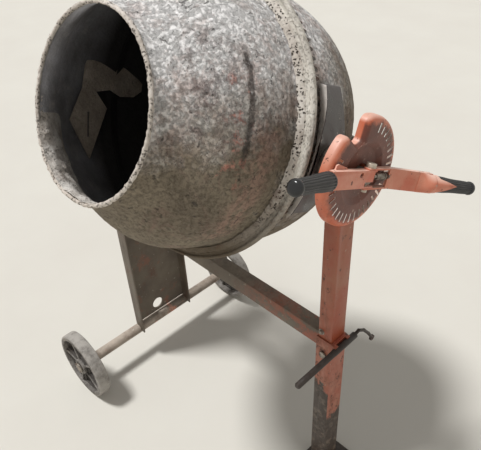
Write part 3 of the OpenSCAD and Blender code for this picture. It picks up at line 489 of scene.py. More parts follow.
def makeOrangePaint(name, wear=0.5, dirtBelow=None, tone=None, fadedAndLitTops=0.0):
    look = dict(paintLook, **(tone or {}))
    finish, shader, place = startFinish(name, 0.5)
    broad = cloudy(place, 12, 0.38, 0.62, 7.0, 0.65)
    skin = mixed(broad, look["paint"], look["faded"])
    if fadedAndLitTops:
        # the faces that look up are painted paler: painted light, with paint faded by sun and dust
        skin = mixed(times(ranged(facing(place, "Z"), 0.45, 0.85), fadedAndLitTops), skin, look["fadedAndLitTop"])
    grime = cloudy(place, 20, 0.60 - 0.16 * wear, 0.78 - 0.16 * wear, 8.0, 0.72, stretch=(1, 1, 0.45))
    skin = layered(skin, look["dirt"], grime, 0.8)
    chips = cloudy(place, 55, 0.66 - 0.10 * wear, 0.68 - 0.10 * wear, 6.0, 0.7)
    skin = layered(skin, look["rust"], chips, 0.85)
    spots = cloudy(place, 95, 0.72 - 0.06 * wear, 0.75 - 0.06 * wear, 3.0, 0.6)
    skin = layered(skin, look["cement"], spots, 0.7)
    if dirtBelow:
        # the lower end is brown with old cement: its ragged edge lies lower on the side away from the drum
        height = plus(along(place, "Z"), times(cloudy(place, 26, 0.3, 0.7, 7.0, 0.72), 0.06))
        side = facing(place, "X")
        height = plus(height, times(counted("MAXIMUM", side, 0.0), 0.125))
        lower = ranged(height, dirtBelow + 0.006, dirtBelow - 0.002)
        mud = mixed(cloudy(place, 40, 0.5, 0.62, 6.0, 0.7), (58, 45, 36), (104, 90, 78))
        skin = mixed(lower, skin, mud)
    fine = cloudy(place, 210, 0.3, 0.7, 4.0, 0.6)
    embossed(shader, (fine, 0.0003, 0.4), (minus(1.0, chips), 0.0006, 0.8), (grime, 0.0008, 0.3))
    rough = plus(ranged(grime, 0, 1, 0.42, 0.75), times(chips, 0.15))
    return wired(finish, shader, skin, rough)


discLook = {"dirt": (94, 49, 37), "deep": (62, 34, 28), "dust": (150, 128, 114),
            "ragged": 0.012, "edge": (0.1055, 0.0955), "level": (0.0315, 0.0345)}


def makeDiscPaint():
    # orange on the rolled rim, old brown dirt and cement on the slotted face
    look = discLook
    # the last number is how much the faces that look up are painted paler: painted light with fading
    finish = makeOrangePaint("discPaint", 0.25, None, {"paint": (198, 98, 64), "faded": (206, 128, 100)}, 0.55)
    shader = finish.node_tree.nodes["Principled BSDF"]
    paint = shader.inputs["Base Color"].links[0].from_socket
    place = finish.node_tree.nodes["Texture Coordinate"].outputs["Object"]
    up = minus(along(place, "Z"), mixer["axisHeight"] + mixer["discRise"])
    reach = reachOf(up, along(place, "Y"))
    ragged = times(cloudy(place, 45, 0.3, 0.7, 6.0, 0.7), look["ragged"])
    inner = ranged(plus(reach, ragged), *look["edge"])
    front = ranged(along(place, "X"), *look["level"])
    dirty = times(inner, front)
    mud = mixed(cloudy(place, 26, 0.4, 0.62, 8.0, 0.72), look["dirt"], look["deep"])
    mud = mixed(cloudy(place, 70, 0.62, 0.70, 5.0, 0.65), mud, look["dust"])
    skin = mixed(times(dirty, 0.9), paint, mud)
    return wired(finish, shader, skin)


standLook = {"paint": (88, 77, 66), "worn": (112, 102, 88), "rust": (96, 58, 42),
             "orange": (158, 86, 62), "dust": (150, 141, 128)}


def makeStandPaint(name="standPaint", orange=0.35, dusty=0.6, tone=None, orangeEnd=None):
    look = dict(standLook, **(tone or {}))
    finish, shader, place = startFinish(name, 0.6)
    broad = cloudy(place, 9, 0.36, 0.64, 8.0, 0.66)
    skin = mixed(broad, look["paint"], look["worn"])
    rust = cloudy(place, 24, 0.55, 0.68, 8.0, 0.75, stretch=(1, 1, 0.5))
    skin = layered(skin, look["rust"], rust, 0.6)
    remnants = cloudy(place, 11, 0.58, 0.64, 8.0, 0.75, warp=0.5)
    skin = layered(skin, look["orange"], remnants, orange)
    if orangeEnd:
        # more of the old orange is left towards this end
        end = ranged(along(place, "X"), orangeEnd[0], orangeEnd[1])
        left = cloudy(place, 16, 0.44, 0.54, 8.0, 0.75, warp=0.4)
        skin = mixed(times(times(end, left), 0.85), skin, look["orange"])
    dust = times(ranged(facing(place, "Z"), 0.2, 0.9), cloudy(place, 30, 0.35, 0.6, 6.0, 0.7))
    skin = layered(skin, look["dust"], dust, dusty)
    drops = cloudy(place, 70, 0.66, 0.69, 3.0, 0.6)
    skin = layered(skin, look["dust"], drops, 0.6)
    fine = cloudy(place, 180, 0.3, 0.7, 5.0, 0.65)
    embossed(shader, (fine, 0.0004, 0.5), (rust, 0.0007, 0.5), (drops, 0.0012, 0.6))
    return wired(finish, shader, skin, ranged(dust, 0, 1, 0.5, 0.9))


steelLook = {"bright": (168, 162, 152), "dull": (112, 106, 98), "rust": (92, 58, 40),
             "oil": (46, 42, 38)}


def makeOldSteel(name="oldSteel", rusty=0.55, shine=0.75, tone=None):
    look = dict(steelLook, **(tone or {}))
    finish, shader, place = startFinish(name, 0.45, 0.6)
    broad = cloudy(place, 22, 0.36, 0.64, 7.0, 0.66)
    skin = mixed(broad, look["dull"], look["bright"])
    rust = cloudy(place, 40, 0.62 - 0.2 * rusty, 0.72 - 0.2 * rusty, 7.0, 0.72)
    skin = layered(skin, look["rust"], rust, 0.8)
    oil = cloudy(place, 15, 0.60, 0.70, 5.0, 0.6)
    skin = layered(skin, look["oil"], oil, 0.6)
    scratches = cloudy(place, 90, 0.4, 0.6, 4.0, 0.6, stretch=(0.15, 1, 1))
    embossed(shader, (scratches, 0.0002, 0.4), (rust, 0.0005, 0.6))
    return wired(finish, shader, skin, ranged(rust, 0, 1, 0.36, 0.85), ranged(rust, 0, 1, shine, 0.05))


wheelLook = {"pale": (150, 145, 139), "grey": (104, 99, 94), "dark": (50, 45, 41),
             "mud": (134, 120, 100), "tread": (178, 173, 166), "middle": 0.309,
             "axleX": -0.713, "axleHeight": 0.110, "rubbed": (0.1035, 0.1065), "dish": (0.020, 0.0945),
             "dishDepth": (0.0135, 0.0095)}


def makeWheelGrey():
    look = wheelLook
    finish, shader, place = startFinish("wheelGrey", 0.75)
    broad = cloudy(place, 26, 0.38, 0.62, 7.0, 0.66)
    skin = mixed(broad, look["grey"], look["pale"])
    dark = cloudy(place, 30, 0.50, 0.58, 7.0, 0.72)
    skin = layered(skin, look["dark"], dark, 0.45)
    mud = cloudy(place, 14, 0.55, 0.68, 6.0, 0.7)
    skin = layered(skin, look["mud"], mud, 0.5)
    # the tread is rubbed pale from this far out
    reach = reachOf(minus(along(place, "X"), look["axleX"]), minus(along(place, "Z"), look["axleHeight"]))
    rubbed = times(ranged(reach, *look["rubbed"]), cloudy(place, 40, 0.3, 0.55, 6.0, 0.7))
    # the dish between hub and rim is painted dark: painted shade in the recess
    across = counted("ABSOLUTE", along(place, "Y"))
    level = counted("ABSOLUTE", minus(across, look["middle"]))
    sunk = times(patchOf(reach, *look["dish"], 0.001), ranged(level, *look["dishDepth"]))
    skin = layered(skin, look["dark"], sunk, 0.8)
    skin = layered(skin, look["tread"], rubbed, 0.75)
    fine = cloudy(place, 240, 0.3, 0.7, 4.0, 0.6)
    embossed(shader, (fine, 0.0004, 0.5), (dark, 0.0008, 0.5))
    return wired(finish, shader, skin, ranged(fine, 0, 1, 0.65, 0.9))


gripLook = {"rubber": (38, 38, 40), "dust": (98, 97, 96), "cap": (26, 27, 30)}


def makeGripRubber():
    look = gripLook
    finish, shader, place = startFinish("gripRubber", 0.55)
    dust = cloudy(place, 34, 0.42, 0.66, 7.0, 0.7)
    skin = mixed(times(dust, 0.6), look["rubber"], look["dust"])
    fine = cloudy(place, 300, 0.3, 0.7, 3.0, 0.6)
    embossed(shader, (fine, 0.00025, 0.5))
    return wired(finish, shader, skin, ranged(dust, 0, 1, 0.40, 0.8))


def makeGripCap():
    finish, shader, place = startFinish("gripCap", 0.22)
    scuffs = cloudy(place, 60, 0.60, 0.74, 6.0, 0.7)
    skin = mixed(times(scuffs, 0.3), gripLook["cap"], gripLook["dust"])
    embossed(shader, (scuffs, 0.0003, 0.4))
    return wired(finish, shader, skin, ranged(scuffs, 0, 1, 0.18, 0.6))


# the paler tone is a painted reflection in broad streaks on the glossy plate
plateLook = {"dark": (50, 46, 47), "paintedSheen": (104, 98, 99), "stain": (52, 34, 28)}


def makeDarkPlate():
    look = plateLook
    finish, shader, place = startFinish("darkPlate", 0.35, 0.15)
    # broad streaks of the paler tone: a painted reflection
    broad = cloudy(place, 17, 0.42, 0.62, 7.0, 0.68, stretch=(1.4, 1.4, 0.6))
    skin = mixed(broad, look["dark"], look["paintedSheen"])
    stain = cloudy(place, 18, 0.55, 0.68, 7.0, 0.7)
    skin = layered(skin, look["stain"], stain, 0.6)
    drops = cloudy(place, 62, 0.65, 0.68, 4.0, 0.6)
    skin = layered(skin, (170, 164, 158), drops, 0.7)
    fine = cloudy(place, 150, 0.3, 0.7, 5.0, 0.65)
    embossed(shader, (fine, 0.0003, 0.4), (drops, 0.001, 0.5))
    return wired(finish, shader, skin, ranged(broad, 0, 1, 0.26, 0.55))


drumCement = makeDrumCement()
ringCement = makeRingCement()
ringFace = makeRingCement("ringFace", 0.12, {"pale": (232, 227, 217), "grey": (206, 200, 190)})
bladeCement = makeRingCement("bladeCement", 0.1,
                             {"pale": (206, 194, 180), "grey": (172, 160, 146), "low": (180, 168, 152)})
rimCement = makeRingCement("rimCement", 0.75, {"low": (196, 184, 170), "pale": (236, 228, 220)})
mouthCement = makeRingCement("mouthCement", 0.3, {"low": (236, 230, 222), "pale": (250, 246, 240)})
insideCement = makeInsideCement()
postPaint = makeOrangePaint("postPaint", 0.4, None, {"paint": (156, 74, 46), "faded": (158, 98, 72)})
legPaint = makeOrangePaint("legPaint", 0.7, 0.405, {"paint": (162, 80, 56), "faded": (172, 112, 90)})
discPaint = makeDiscPaint()
# the last number is how much the faces that look up are painted paler: painted light with fading
leverPaint = makeOrangePaint("leverPaint", 0.25, None,
                             {"paint": (204, 108, 80), "faded": (214, 144, 118)}, 0.75)
discBack = makeOrangePaint("discBack", 0.4, None,
                           {"paint": (206, 180, 160), "faded": (216, 200, 186), "dirt": (160, 122, 100)})
housingPaint = makeOrangePaint("housingPaint", 0.5)
standPaint = makeStandPaint()
yokePaint = makeStandPaint("yokePaint", 0.15, 0.7)
barPaint = makeStandPaint("barPaint", 0.15, 0.12,
                          {"paint": (32, 25, 21), "worn": (48, 38, 32), "rust": (54, 33, 25),
                           "dust": (78, 68, 60)})
beamPaint = makeStandPaint("beamPaint", 0.75, 0.6, orangeEnd=(-0.34, -0.12))
axlePaint = makeStandPaint("axlePaint", 0.9, 0.35,
                           {"paint": (116, 104, 92), "worn": (178, 164, 150), "orange": (204, 140, 116),
                            "rust": (110, 84, 70), "dust": (206, 196, 182)})
oldSteel = makeOldSteel()
cleanSteel = makeOldSteel("cleanSteel", 0.1, 0.35, {"bright": (214, 204, 188), "dull": (168, 156, 140)})
wheelGrey = makeWheelGrey()
gripRubber = makeGripRubber()
gripCap = makeGripCap()
darkPlate = makeDarkPlate()
# dark steel for the teeth: painted shade
shadedToothSteel = makeOldSteel("shadedToothSteel", 0.6, 0.5, {"bright": (66, 60, 54), "dull": (44, 40, 36)})
paintedHighlight = makeOldSteel("paintedHighlight", 0.15, 0.2, {"bright": (222, 216, 210), "dull": (176, 168, 160)})
print("finishes made")


# Copies of the CAD nodes with their edges eased, as pressed sheet and cast metal have them

softLook = {"merge": 0.00002, "flat": 0.6, "bevelAngle": 38}


def easedNode(node, body, slot, finish, width):
    piece = ownCopy(node, node + "Eased")
    editAll()
    bpy.ops.mesh.remove_doubles(threshold=softLook["merge"])
    bpy.ops.mesh.dissolve_limited(angle_limit=math.radians(softLook["flat"]))
    leaveEdit()
    applied(piece, "BEVEL", width=width, segments=2, limit_method="ANGLE",
            angle_limit=math.radians(softLook["bevelAngle"]), use_clamp_overlap=True)
    return finished(piece, body, slot, finish, replaces=(node,))


easedNodes = [
    ("beam", "stand", "stand_dark", beamPaint, 0.0010),
    ("post", "stand", "orange_paint", postPaint, 0.0016),
    ("leg", "stand", "orange_paint", legPaint, 0.0018),
    ("foot", "stand", "stand_dark", barPaint, 0.0012),
    ("leg_pin", "stand", "bare_steel", oldSteel, 0.0008),
    ("bar_bracket", "stand", "orange_paint", legPaint, 0.0008),
    ("lift_bar", "stand", "stand_dark", barPaint, 0.0008),
    ("housing", "stand", "orange_paint", housingPaint, 0.0012),
    ("axle", "stand", "bare_steel", axlePaint, 0.0006),
    ("keeper_near", "stand", "bare_steel", oldSteel, 0.0008),
    ("keeper_far", "stand", "bare_steel", oldSteel, 0.0008),
    ("lever", "yoke", "orange_paint", leverPaint, 0.0007),
    ("far_arm", "yoke", "orange_paint", leverPaint, 0.0007),
    ("handle_pin", "yoke", "bare_steel", cleanSteel, 0.0010),
    ("catch", "yoke", "stand_dark", oldSteel, 0.0004),
    ("saddle_drive", "yoke", "stand_dark", yokePaint, 0.0008),
    ("yoke", "yoke", "stand_dark", yokePaint, 0.0010),
    ("trunnion_post", "yoke", "bare_steel", oldSteel, 0.0008),
    ("trunnion_drive", "yoke", "bare_steel", oldSteel, 0.0008),
    ("wheel_near", "wheel_near", "wheel_grey", wheelGrey, 0.0012),
    ("wheel_far", "wheel_far", "wheel_grey", wheelGrey, 0.0012),
    ("drum_spindle", "drum", "bare_steel", oldSteel, 0.0008),
]
for node, body, slot, finish, width in easedNodes:
    easedNode(node, body, slot, finish, width)
print("eased", len(easedNodes), "nodes")


# The upright: the round hole in its foot is wide

uprightLook = {"holeAt": (-0.714, -0.009, 0.162), "holeRadius": 0.0195}


def makeUpright():
    look = uprightLook
    piece = easedNode("upright", "stand", "stand_dark", standPaint, 0.0010)
    letGo()
    bpy.ops.mesh.primitive_cylinder_add(vertices=72, radius=look["holeRadius"], depth=0.03,
                                        location=look["holeAt"], rotation=(0, math.pi / 2, 0))
    cutter = given(bpy.context.object, standPaint)
    applied(piece, "BOOLEAN", operation="DIFFERENCE", object=cutter, solver="EXACT")
    bpy.data.objects.remove(cutter)
    return smoothed(piece)


makeUpright()

# CAD nodes whose shape is right keep their mesh and get the finish
for node, finish in (("pinion", oldSteel), ("bar_hook", barPaint), ("motor", standPaint),
                     ("blade_1", bladeCement), ("blade_2", bladeCement), ("blade_3", bladeCement)):
    kept = frame["nodes"][node]
    kept.data.materials.clear()
    given(kept, finish)


# The post's saddle plate: its front flange runs out below the top, and its front is painted pale: a painted
# highlight

saddleLook = {"edge": 0.2932, "outer": 0.3015, "front": 0.040, "low": 0.020, "high": 0.100, "below": 0.060,
              "foot": 0.030, "height": 0.0090, "rows": 14, "paintedLightFrom": 0.046}


def makeSaddle():
    look = saddleLook
    piece = easedNode("saddle_post", "yoke", "stand_dark", darkPlate, 0.0008)
    placed(piece, drumPlace.inverted())
    span = look["high"] + look["below"]
    reach = span / look["rows"] / 2
    for row in range(look["rows"]):
        n = look["high"] - span * (row + 0.5) / look["rows"]
        part = max(min(1.0, (n - look["low"]) / (look["high"] - look["low"])),
                   min(1.0, (-look["foot"] - n) / look["foot"]), 0.0)
        selectPoints(piece, lambda p: (math.hypot(p.x, p.y) > look["edge"] and p.z > look["front"]
                                       and abs(p.y - n) <= reach))
        shrink = 1 - look["height"] / look["outer"] * (1 - part)
        bpy.ops.transform.resize(value=(shrink, shrink, 1), center_override=(0, 0, 0))
    leaveEdit()
    # the front faces take the pale finish: a painted highlight
    given(piece, paintedHighlight)
    for face in piece.data.polygons:
        if face.normal.z > 0.7 and face.center.z > look["paintedLightFrom"]:
            face.material_index = 1
    placed(piece, drumPlace)
    return smoothed(piece)


makeSaddle()


# The toothed ring: its rim is narrow, its back slopes, and the teeth stand lower behind it

ringShape = {"rimFrom": 0.2990, "tipsFrom": 0.2970, "back": 0.0655, "tipsBack": 0.0660, "shadeBehind": 0.0658,
             "drawnForward": 0.0115, "lower": 0.9775}


def makeRing():
    look = ringShape
    piece = placed(ownCopy("drum_band", "toothedRing"), drumPlace.inverted())
    editAll()
    bpy.ops.mesh.remove_doubles(threshold=softLook["merge"])
    selectPoints(piece, lambda p: math.hypot(p.x, p.y) > look["rimFrom"] and p.z < look["back"])
    bpy.ops.transform.translate(value=(0, 0, look["drawnForward"]))
    selectPoints(piece, lambda p: look["tipsFrom"] < math.hypot(p.x, p.y) < look["rimFrom"]
                 and p.z < look["tipsBack"])
    bpy.ops.transform.resize(value=(look["lower"], look["lower"], 1), center_override=(0, 0, 0))
    facesOut()
    leaveEdit()
    placed(piece, drumPlace)
    finished(piece, "drum", "drum_skin", ringFace, shadedToothSteel, replaces=("drum_band",), angle=30)
    # the teeth and the root behind them are painted dark: painted shade
    for face in piece.data.polygons:
        spot = drumPlace.inverted() @ face.center
        face.material_index = 1 if spot.z < look["shadeBehind"] else 0
    return piece


makeRing()
print("saddle and ring made")


# The drum: two spun shells under a crust of cement

shellLook = {"wall": 0.003, "stepDown": 0.009, "stepWidth": 0.011, "neck": 0.329, "fullness": 1.87,
             "bead": 0.0056, "steps": 460, "rows": 84, "lumps": 0.0020, "grain": 0.0017, "rimLumps": 0.0042,
             "insideWeight": 0.25, "insideTurn": -0.25}


def frontRadius(part):
    drop = mixer["shellRadius"] - shellLook["stepDown"] - mixer["mouthRadius"]
    return mixer["mouthRadius"] + drop * (1 + math.cos(math.pi * part ** shellLook["fullness"])) / 2


def makeDrumFront():
    look = shellLook
    start = mixer["seam"] + look["stepWidth"]
    rows = [i / look["rows"] for i in range(look["rows"] + 1)]
    outer = [(frontRadius(u), start + (look["neck"] - start) * u) for u in rows]
    beadAt = (mixer["mouthRadius"] - look["wall"] / 2 - 0.0008, mixer["mouth"] - look["bead"])
    bead = [(beadAt[0] + look["bead"] * math.cos(math.radians(a)),
             beadAt[1] + look["bead"] * math.sin(math.radians(a))) for a in range(-60, 241, 25)]
    inner = [(r - look["wall"] * 1.2, s) for r, s in reversed(outer[::2])]
    seam = mixer["shellRadius"] - 0.001
    outline = ([(seam, mixer["seam"])] + outer + bead + inner
               + [(seam - look["wall"], mixer["seam"]), (seam, mixer["seam"])])
    piece = turned("drumFrontShell", outline, look["steps"])

    def weight(p):
        # the crust is thick outside and on the rim, and thin inside
        skin = frontRadius(min(max((p.z - start) / (look["neck"] - start), 0), 1)) - 0.001
        return 1.0 if math.hypot(p.x, p.y) > skin or p.z > look["neck"] else look["insideWeight"]

    outside = pointGroup(piece, "outside", weight)
    roughened(piece, "frontLumps", 0.045, look["lumps"], outside, middle=0.76, detail=3)
    roughened(piece, "frontGrain", 0.0075, look["grain"], outside, middle=0.74, detail=2)
    rim = pointGroup(piece, "rim", lambda p: (p.z - look["neck"]) * 80)
    roughened(piece, "rimLumps", 0.008, look["rimLumps"], rim, middle=0.72, detail=3)
    placed(piece, drumPlace)
    finished(piece, "drum", "drum_skin", drumCement, insideCement, rimCement,
             replaces=("drum_front",), angle=50)
    for face in piece.data.polygons:
        arm = face.center - drumPlace.translation
        reach = arm.dot(drumAxis)
        out = (arm - drumAxis * reach).normalized()
        if reach > look["neck"] + look["wall"]:
            face.material_index = 2
        else:
            face.material_index = 1 if face.normal.dot(out) < look["insideTurn"] else 0
    return piece


bowlLook = {"flat": 0.129, "start": 0.072, "fullness": 2.4, "rows": 62, "innerRows": 22, "steps": 400,
            "middle": 0.03, "dents": 0.0022, "grain": 0.0014}


def bowlOutline(radius, bottom, rows):
    look = bowlLook
    turns = [math.pi / 2 * i / rows for i in range(rows + 1)]
    return [(look["flat"] + (radius - look["flat"]) * abs(math.cos(t)) ** (2 / look["fullness"]),
             look["start"] - (look["start"] - bottom) * math.sin(t) ** (2 / look["fullness"])) for t in turns]


def makeDrumRear():
    look = bowlLook
    overlap = mixer["seam"] + 0.004
    outer = ([(mixer["shellRadius"] - 0.0012, overlap), (mixer["shellRadius"], mixer["seam"])]
             + bowlOutline(mixer["shellRadius"], mixer["bottom"], look["rows"]))
    floorOut = [(look["flat"] * k, mixer["bottom"]) for k in (0.8, 0.6, 0.4, 0.2, 0.0)]
    wall = shellLook["wall"]
    floorIn = [(r, s + wall) for r, s in reversed(floorOut)]
    inner = bowlOutline(mixer["shellRadius"] - wall, mixer["bottom"] + wall, look["innerRows"])[::-1]
    outline = outer + floorOut + floorIn + inner + [(mixer["shellRadius"] - wall, overlap), outer[0]]
    piece = turned("drumRearShell", outline, look["steps"])
    roughened(piece, "rearDents", 0.16, look["dents"], detail=1)
    roughened(piece, "rearGrain", 0.014, look["grain"], detail=3)
    placed(piece, drumPlace)
    finished(piece, "drum", "drum_skin", drumCement, insideCement, replaces=("drum_rear",), angle=50)
    # the inside takes the dark finish
    middle = drumPlace @ Vector((0, 0, look["middle"]))
    for face in piece.data.polygons:
        face.material_index = 1 if face.normal.dot(face.center - middle) < 0 else 0
    return piece


makeDrumFront()
makeDrumRear()
print("drum shells made")


# Crust on the ring's front

ringCrustLook = {"steps": 420, "depth": 0.0055, "hollows": 0.004, "root": 0.0868,
                 "outline": [(0.2735, 0.0990), (0.2760, 0.0982), (0.2785, 0.0972), (0.2810, 0.0958),
                             (0.2832, 0.0940), (0.2852, 0.0918), (0.2864, 0.0895), (0.2866, 0.0868),
                             (0.2800, 0.0860), (0.2735, 0.0900), (0.2735, 0.0990)]}


def makeRingCrust():
    look = ringCrustLook
    piece = turned("ringCrust", look["outline"], look["steps"])
    upper = pointGroup(piece, "upper", lambda p: 1.0 if p.z > look["root"] else 0.0)
    roughened(piece, "crustLumps", 0.010, look["depth"], upper, detail=3)
    roughened(piece, "crustHollows", 0.045, look["hollows"], upper, middle=0.6, detail=1)
    placed(piece, drumPlace)
    return finished(piece, "drum", "drum_skin", ringCement, angle=60)


makeRingCrust()


# Crust inside the mouth: a thick pale patch on the wall at the lower left

mouthCrustLook = {"from": 0.262, "to": 0.341, "rows": 16, "steps": 150, "arc": 105, "turn": -66, "base": 0.85,
                  "middle": 112, "reach": 50, "fade": 3.2, "start": 0.02, "swell": 0.011, "grain": 0.004,
                  "sheet": 0.0006}


def makeMouthCrust():
    look = mouthCrustLook
    start = mixer["seam"] + shellLook["stepWidth"]
    rows = []
    for i in range(look["rows"] + 1):
        s = look["from"] + (look["to"] - look["from"]) * i / look["rows"]
        u = min((s - start) / (shellLook["neck"] - start), 1.0)
        rows.append((frontRadius(u) - shellLook["wall"] * look["base"], s))
    piece = turned("mouthCrust", rows, look["steps"], arc=look["arc"])
    placed(piece, Matrix.Rotation(math.radians(look["turn"]), 4, "Z"))

    def weight(p):
        # full in the middle, and nothing at the patch's edges
        off = abs((math.degrees(math.atan2(p.y, p.x)) + look["middle"]) / look["reach"])
        return max(0.0, min(1.0, look["fade"] * (1 - off) * min(1.0, (p.z - look["from"]) / look["start"])))

    edge = pointGroup(piece, "middle", weight)
    # the sheet swells towards the axis, whichever way its normals look
    outward = sum(p.normal.x * p.co.x + p.normal.y * p.co.y for p in piece.data.vertices)
    inwards = -math.copysign(1.0, outward)
    roughened(piece, "mouthSwell", 0.030, inwards * look["swell"], edge, middle=0.05, detail=3)
    roughened(piece, "mouthGrain", 0.007, inwards * look["grain"], edge, middle=0.3, detail=3)
    applied(piece, "SOLIDIFY", thickness=look["sheet"], offset=0.0)
    placed(piece, drumPlace)
    return finished(piece, "drum", "drum_skin", mouthCement, angle=60)


makeMouthCrust()


def makeSeamLap():
    # old mortar fills the joint of the two shells on the inside
    lap = turned("seamLap", [(0.2660, 0.0990), (0.2690, 0.0965), (0.2775, 0.0935), (0.2775, 0.0810),
                             (0.2752, 0.0790), (0.2722, 0.0850), (0.2690, 0.0915), (0.2660, 0.0990)], 160)
    placed(lap, drumPlace)
    return finished(lap, "drum", "drum_skin", insideCement, angle=60)


makeSeamLap()
print("crust made")


# The tilt disc: a heart-shaped sheet with a rolled rim, catch slots and a sunk middle

discShape = {"radius": 0.106, "lobe": 0.016, "notchRadius": 0.0125, "notchUp": 0.077, "notchAngle": 31,
             "turn": 10, "back": 0.021, "face": 0.042, "thick": 0.0016, "roll": 0.0112,
             "middle": 0.060, "step": 0.006, "bore": 0.0220, "hub": 0.0290, "slotFrom": 40, "slotEvery": 10,
             "slotIn": 0.077, "slotLength": 0.018, "slotWidth": 0.0046, "cutDepth": 0.012}


def discOutline():
    look = discShape
    half = []
    lean = math.radians(look["notchAngle"])
    reach = look["radius"] - look["lobe"]
    lobeTurn = lean + math.asin((look["notchRadius"] + look["lobe"] - look["notchUp"] * math.sin(lean)) / reach)
    lobeAt = (reach * math.sin(lobeTurn), reach * math.cos(lobeTurn))
    for centre, radius, first, last, steps in (
            ((0, look["notchUp"]), look["notchRadius"], -math.pi / 2, -lean, 8),
            (lobeAt, look["lobe"], math.pi - lean, math.pi / 2 - lobeTurn, 16),
            ((0, 0), look["radius"], math.pi / 2 - lobeTurn, -math.pi / 2, 64)):
        for i in range(0 if radius == look["notchRadius"] else 1, steps + 1):
            a = first + (last - first) * i / steps
            half.append((centre[0] + radius * math.cos(a), centre[1] + radius * math.sin(a)))
    return half + [(-u, v) for u, v in reversed(half[1:-1])]


def makeDiscSheet(depth):
    # the outline is drawn and pulled up, its back is left open, and its front edge is rolled
    look = discShape
    outline = discOutline()
    sheet = drawn("tiltDiscSheet", [(u, v, 0) for u, v in outline + outline[:1]])
    bpy.ops.mesh.remove_doubles(threshold=mergeWithin)
    bpy.ops.mesh.select_all(action="SELECT")
    bpy.ops.mesh.edge_face_add()
    bpy.ops.mesh.extrude_region_move(TRANSFORM_OT_translate={"value": (0, 0, depth)})
    facesOut()
    selectFaces(sheet, lambda f: abs(f.normal.z) > 0.9 and f.center.z < depth / 2)
    bpy.ops.mesh.delete(type="FACE")
    selectFaces(sheet, lambda f: f.normal.z > 0.9)
    bpy.ops.mesh.region_to_loop()
    bpy.ops.mesh.bevel(offset=look["roll"], segments=8, profile=0.5, affect="EDGES", clamp_overlap=False)
    leaveEdit()
    given(sheet, discPaint, discBack, paintedHighlight)
    return applied(sheet, "SOLIDIFY", thickness=look["thick"], offset=-1.0, material_offset=1)


def cutDisc(sheet, depth):
    # the slots round the edge, and the opening for the sunk middle
    look = discShape
    cutters = []
    for angle in range(look["slotFrom"], 360 - look["slotFrom"] + 1, look["slotEvery"]):
        letGo()
        bpy.ops.mesh.primitive_cube_add(size=1, location=(0, look["slotIn"] + look["slotLength"] / 2, depth))
        cutter = bpy.context.object
        cutter.scale = (look["slotWidth"], look["slotLength"], look["cutDepth"])
        applied(cutter, "BEVEL", width=0.0015, segments=2, limit_method="ANGLE")
        # the slot walls take the pale finish: painted light in the slots
        for face in given(cutter, discPaint, discBack, paintedHighlight).data.polygons:
            face.material_index = 2
        cutters.append(placed(cutter, Matrix.Rotation(-math.radians(angle), 4, "Z")))
    letGo()
    bpy.ops.mesh.primitive_cylinder_add(vertices=96, radius=look["middle"] + 0.0006, depth=look["cutDepth"],
                                        location=(0, 0, depth))
    cutters.append(bpy.context.object)
    cutter = joined("slotCutter", cutters)
    applied(sheet, "BOOLEAN", operation="DIFFERENCE", object=cutter, solver="EXACT")
    bpy.data.objects.remove(cutter)


def makeTiltDisc():
    look = discShape
    depth = look["face"] - look["back"]
    sheet = makeDiscSheet(depth)
    cutDisc(sheet, depth)
    # the sunk middle has a sloping wall, and the hub stands behind it
    m, bore, hubRadius = look["middle"], look["bore"], look["hub"]
    low = depth - look["step"]
    under = low - look["thick"]
    middle = turned("discMiddle", [
        (bore + 0.0002, under), (bore + 0.0002, low), (m - 0.0130, low), (m - 0.0105, low + 0.0006),
        (m - 0.0018, depth - 0.0008), (m + 0.0006, depth - 0.0001), (m + 0.0012, depth - 0.0008),
        (m + 0.0012, depth - 0.0022), (m - 0.0010, depth - 0.0026), (m - 0.0100, under + 0.0006),
        (m - 0.0130, under), (bore + 0.0002, under)], 128)
    disc = joined("tiltDiscSheet", [sheet, given(middle, discPaint)])
    # drawn with its face along z and the notch along y: it is stood up with the face to the lever
    stand = Matrix(((0, 0, 1, look["back"]), (1, 0, 0, 0), (0, 1, 0, mixer["axisHeight"]), (0, 0, 0, 1)))
    placed(disc, stand @ Matrix.Translation((0, mixer["discRise"], 0))
           @ Matrix.Rotation(math.radians(look["turn"]), 4, "Z"))
    foot = mixer["postFaceX"] - look["back"]
    hub = turned("discHub", [(bore, foot), (hubRadius, foot), (hubRadius, under), (hubRadius, low - 0.0004),
                             (bore, low - 0.0004), (bore, foot)], 64)
    disc = joined("tiltDiscSheet", [disc, placed(given(hub, discPaint), stand)])
    return finished(disc, "stand", "orange_paint", replaces=("tilt_disc",))


makeTiltDisc()
print("tilt disc made")


# Ribbed grips with a glossy end cap

gripShape = {"bore": 0.0095, "bodyFrom": 0.007, "bodyTo": 0.107, "bodyRows": 22,
             "collar": ((0.0, 0.0148), (0.0006, 0.0158), (0.0024, 0.0166), (0.005, 0.0167)),
             "neck": ((0.1085, 0.0122), (0.1095, 0.0118)), "startRadius": 0.0165, "tipRadius": 0.0125,
             "ribs": 20, "ribsFrom": 0.006, "ribsTo": 0.108, "groove": 0.905, "capAt": 0.1088, "cap": 0.0135,
             "tangX": 0.0595, "nearTang": 0.128, "nearLean": 9.3, "nearGap": 0.004,
             "farTang": -0.070, "farLean": 18.7, "farGap": 0.110}


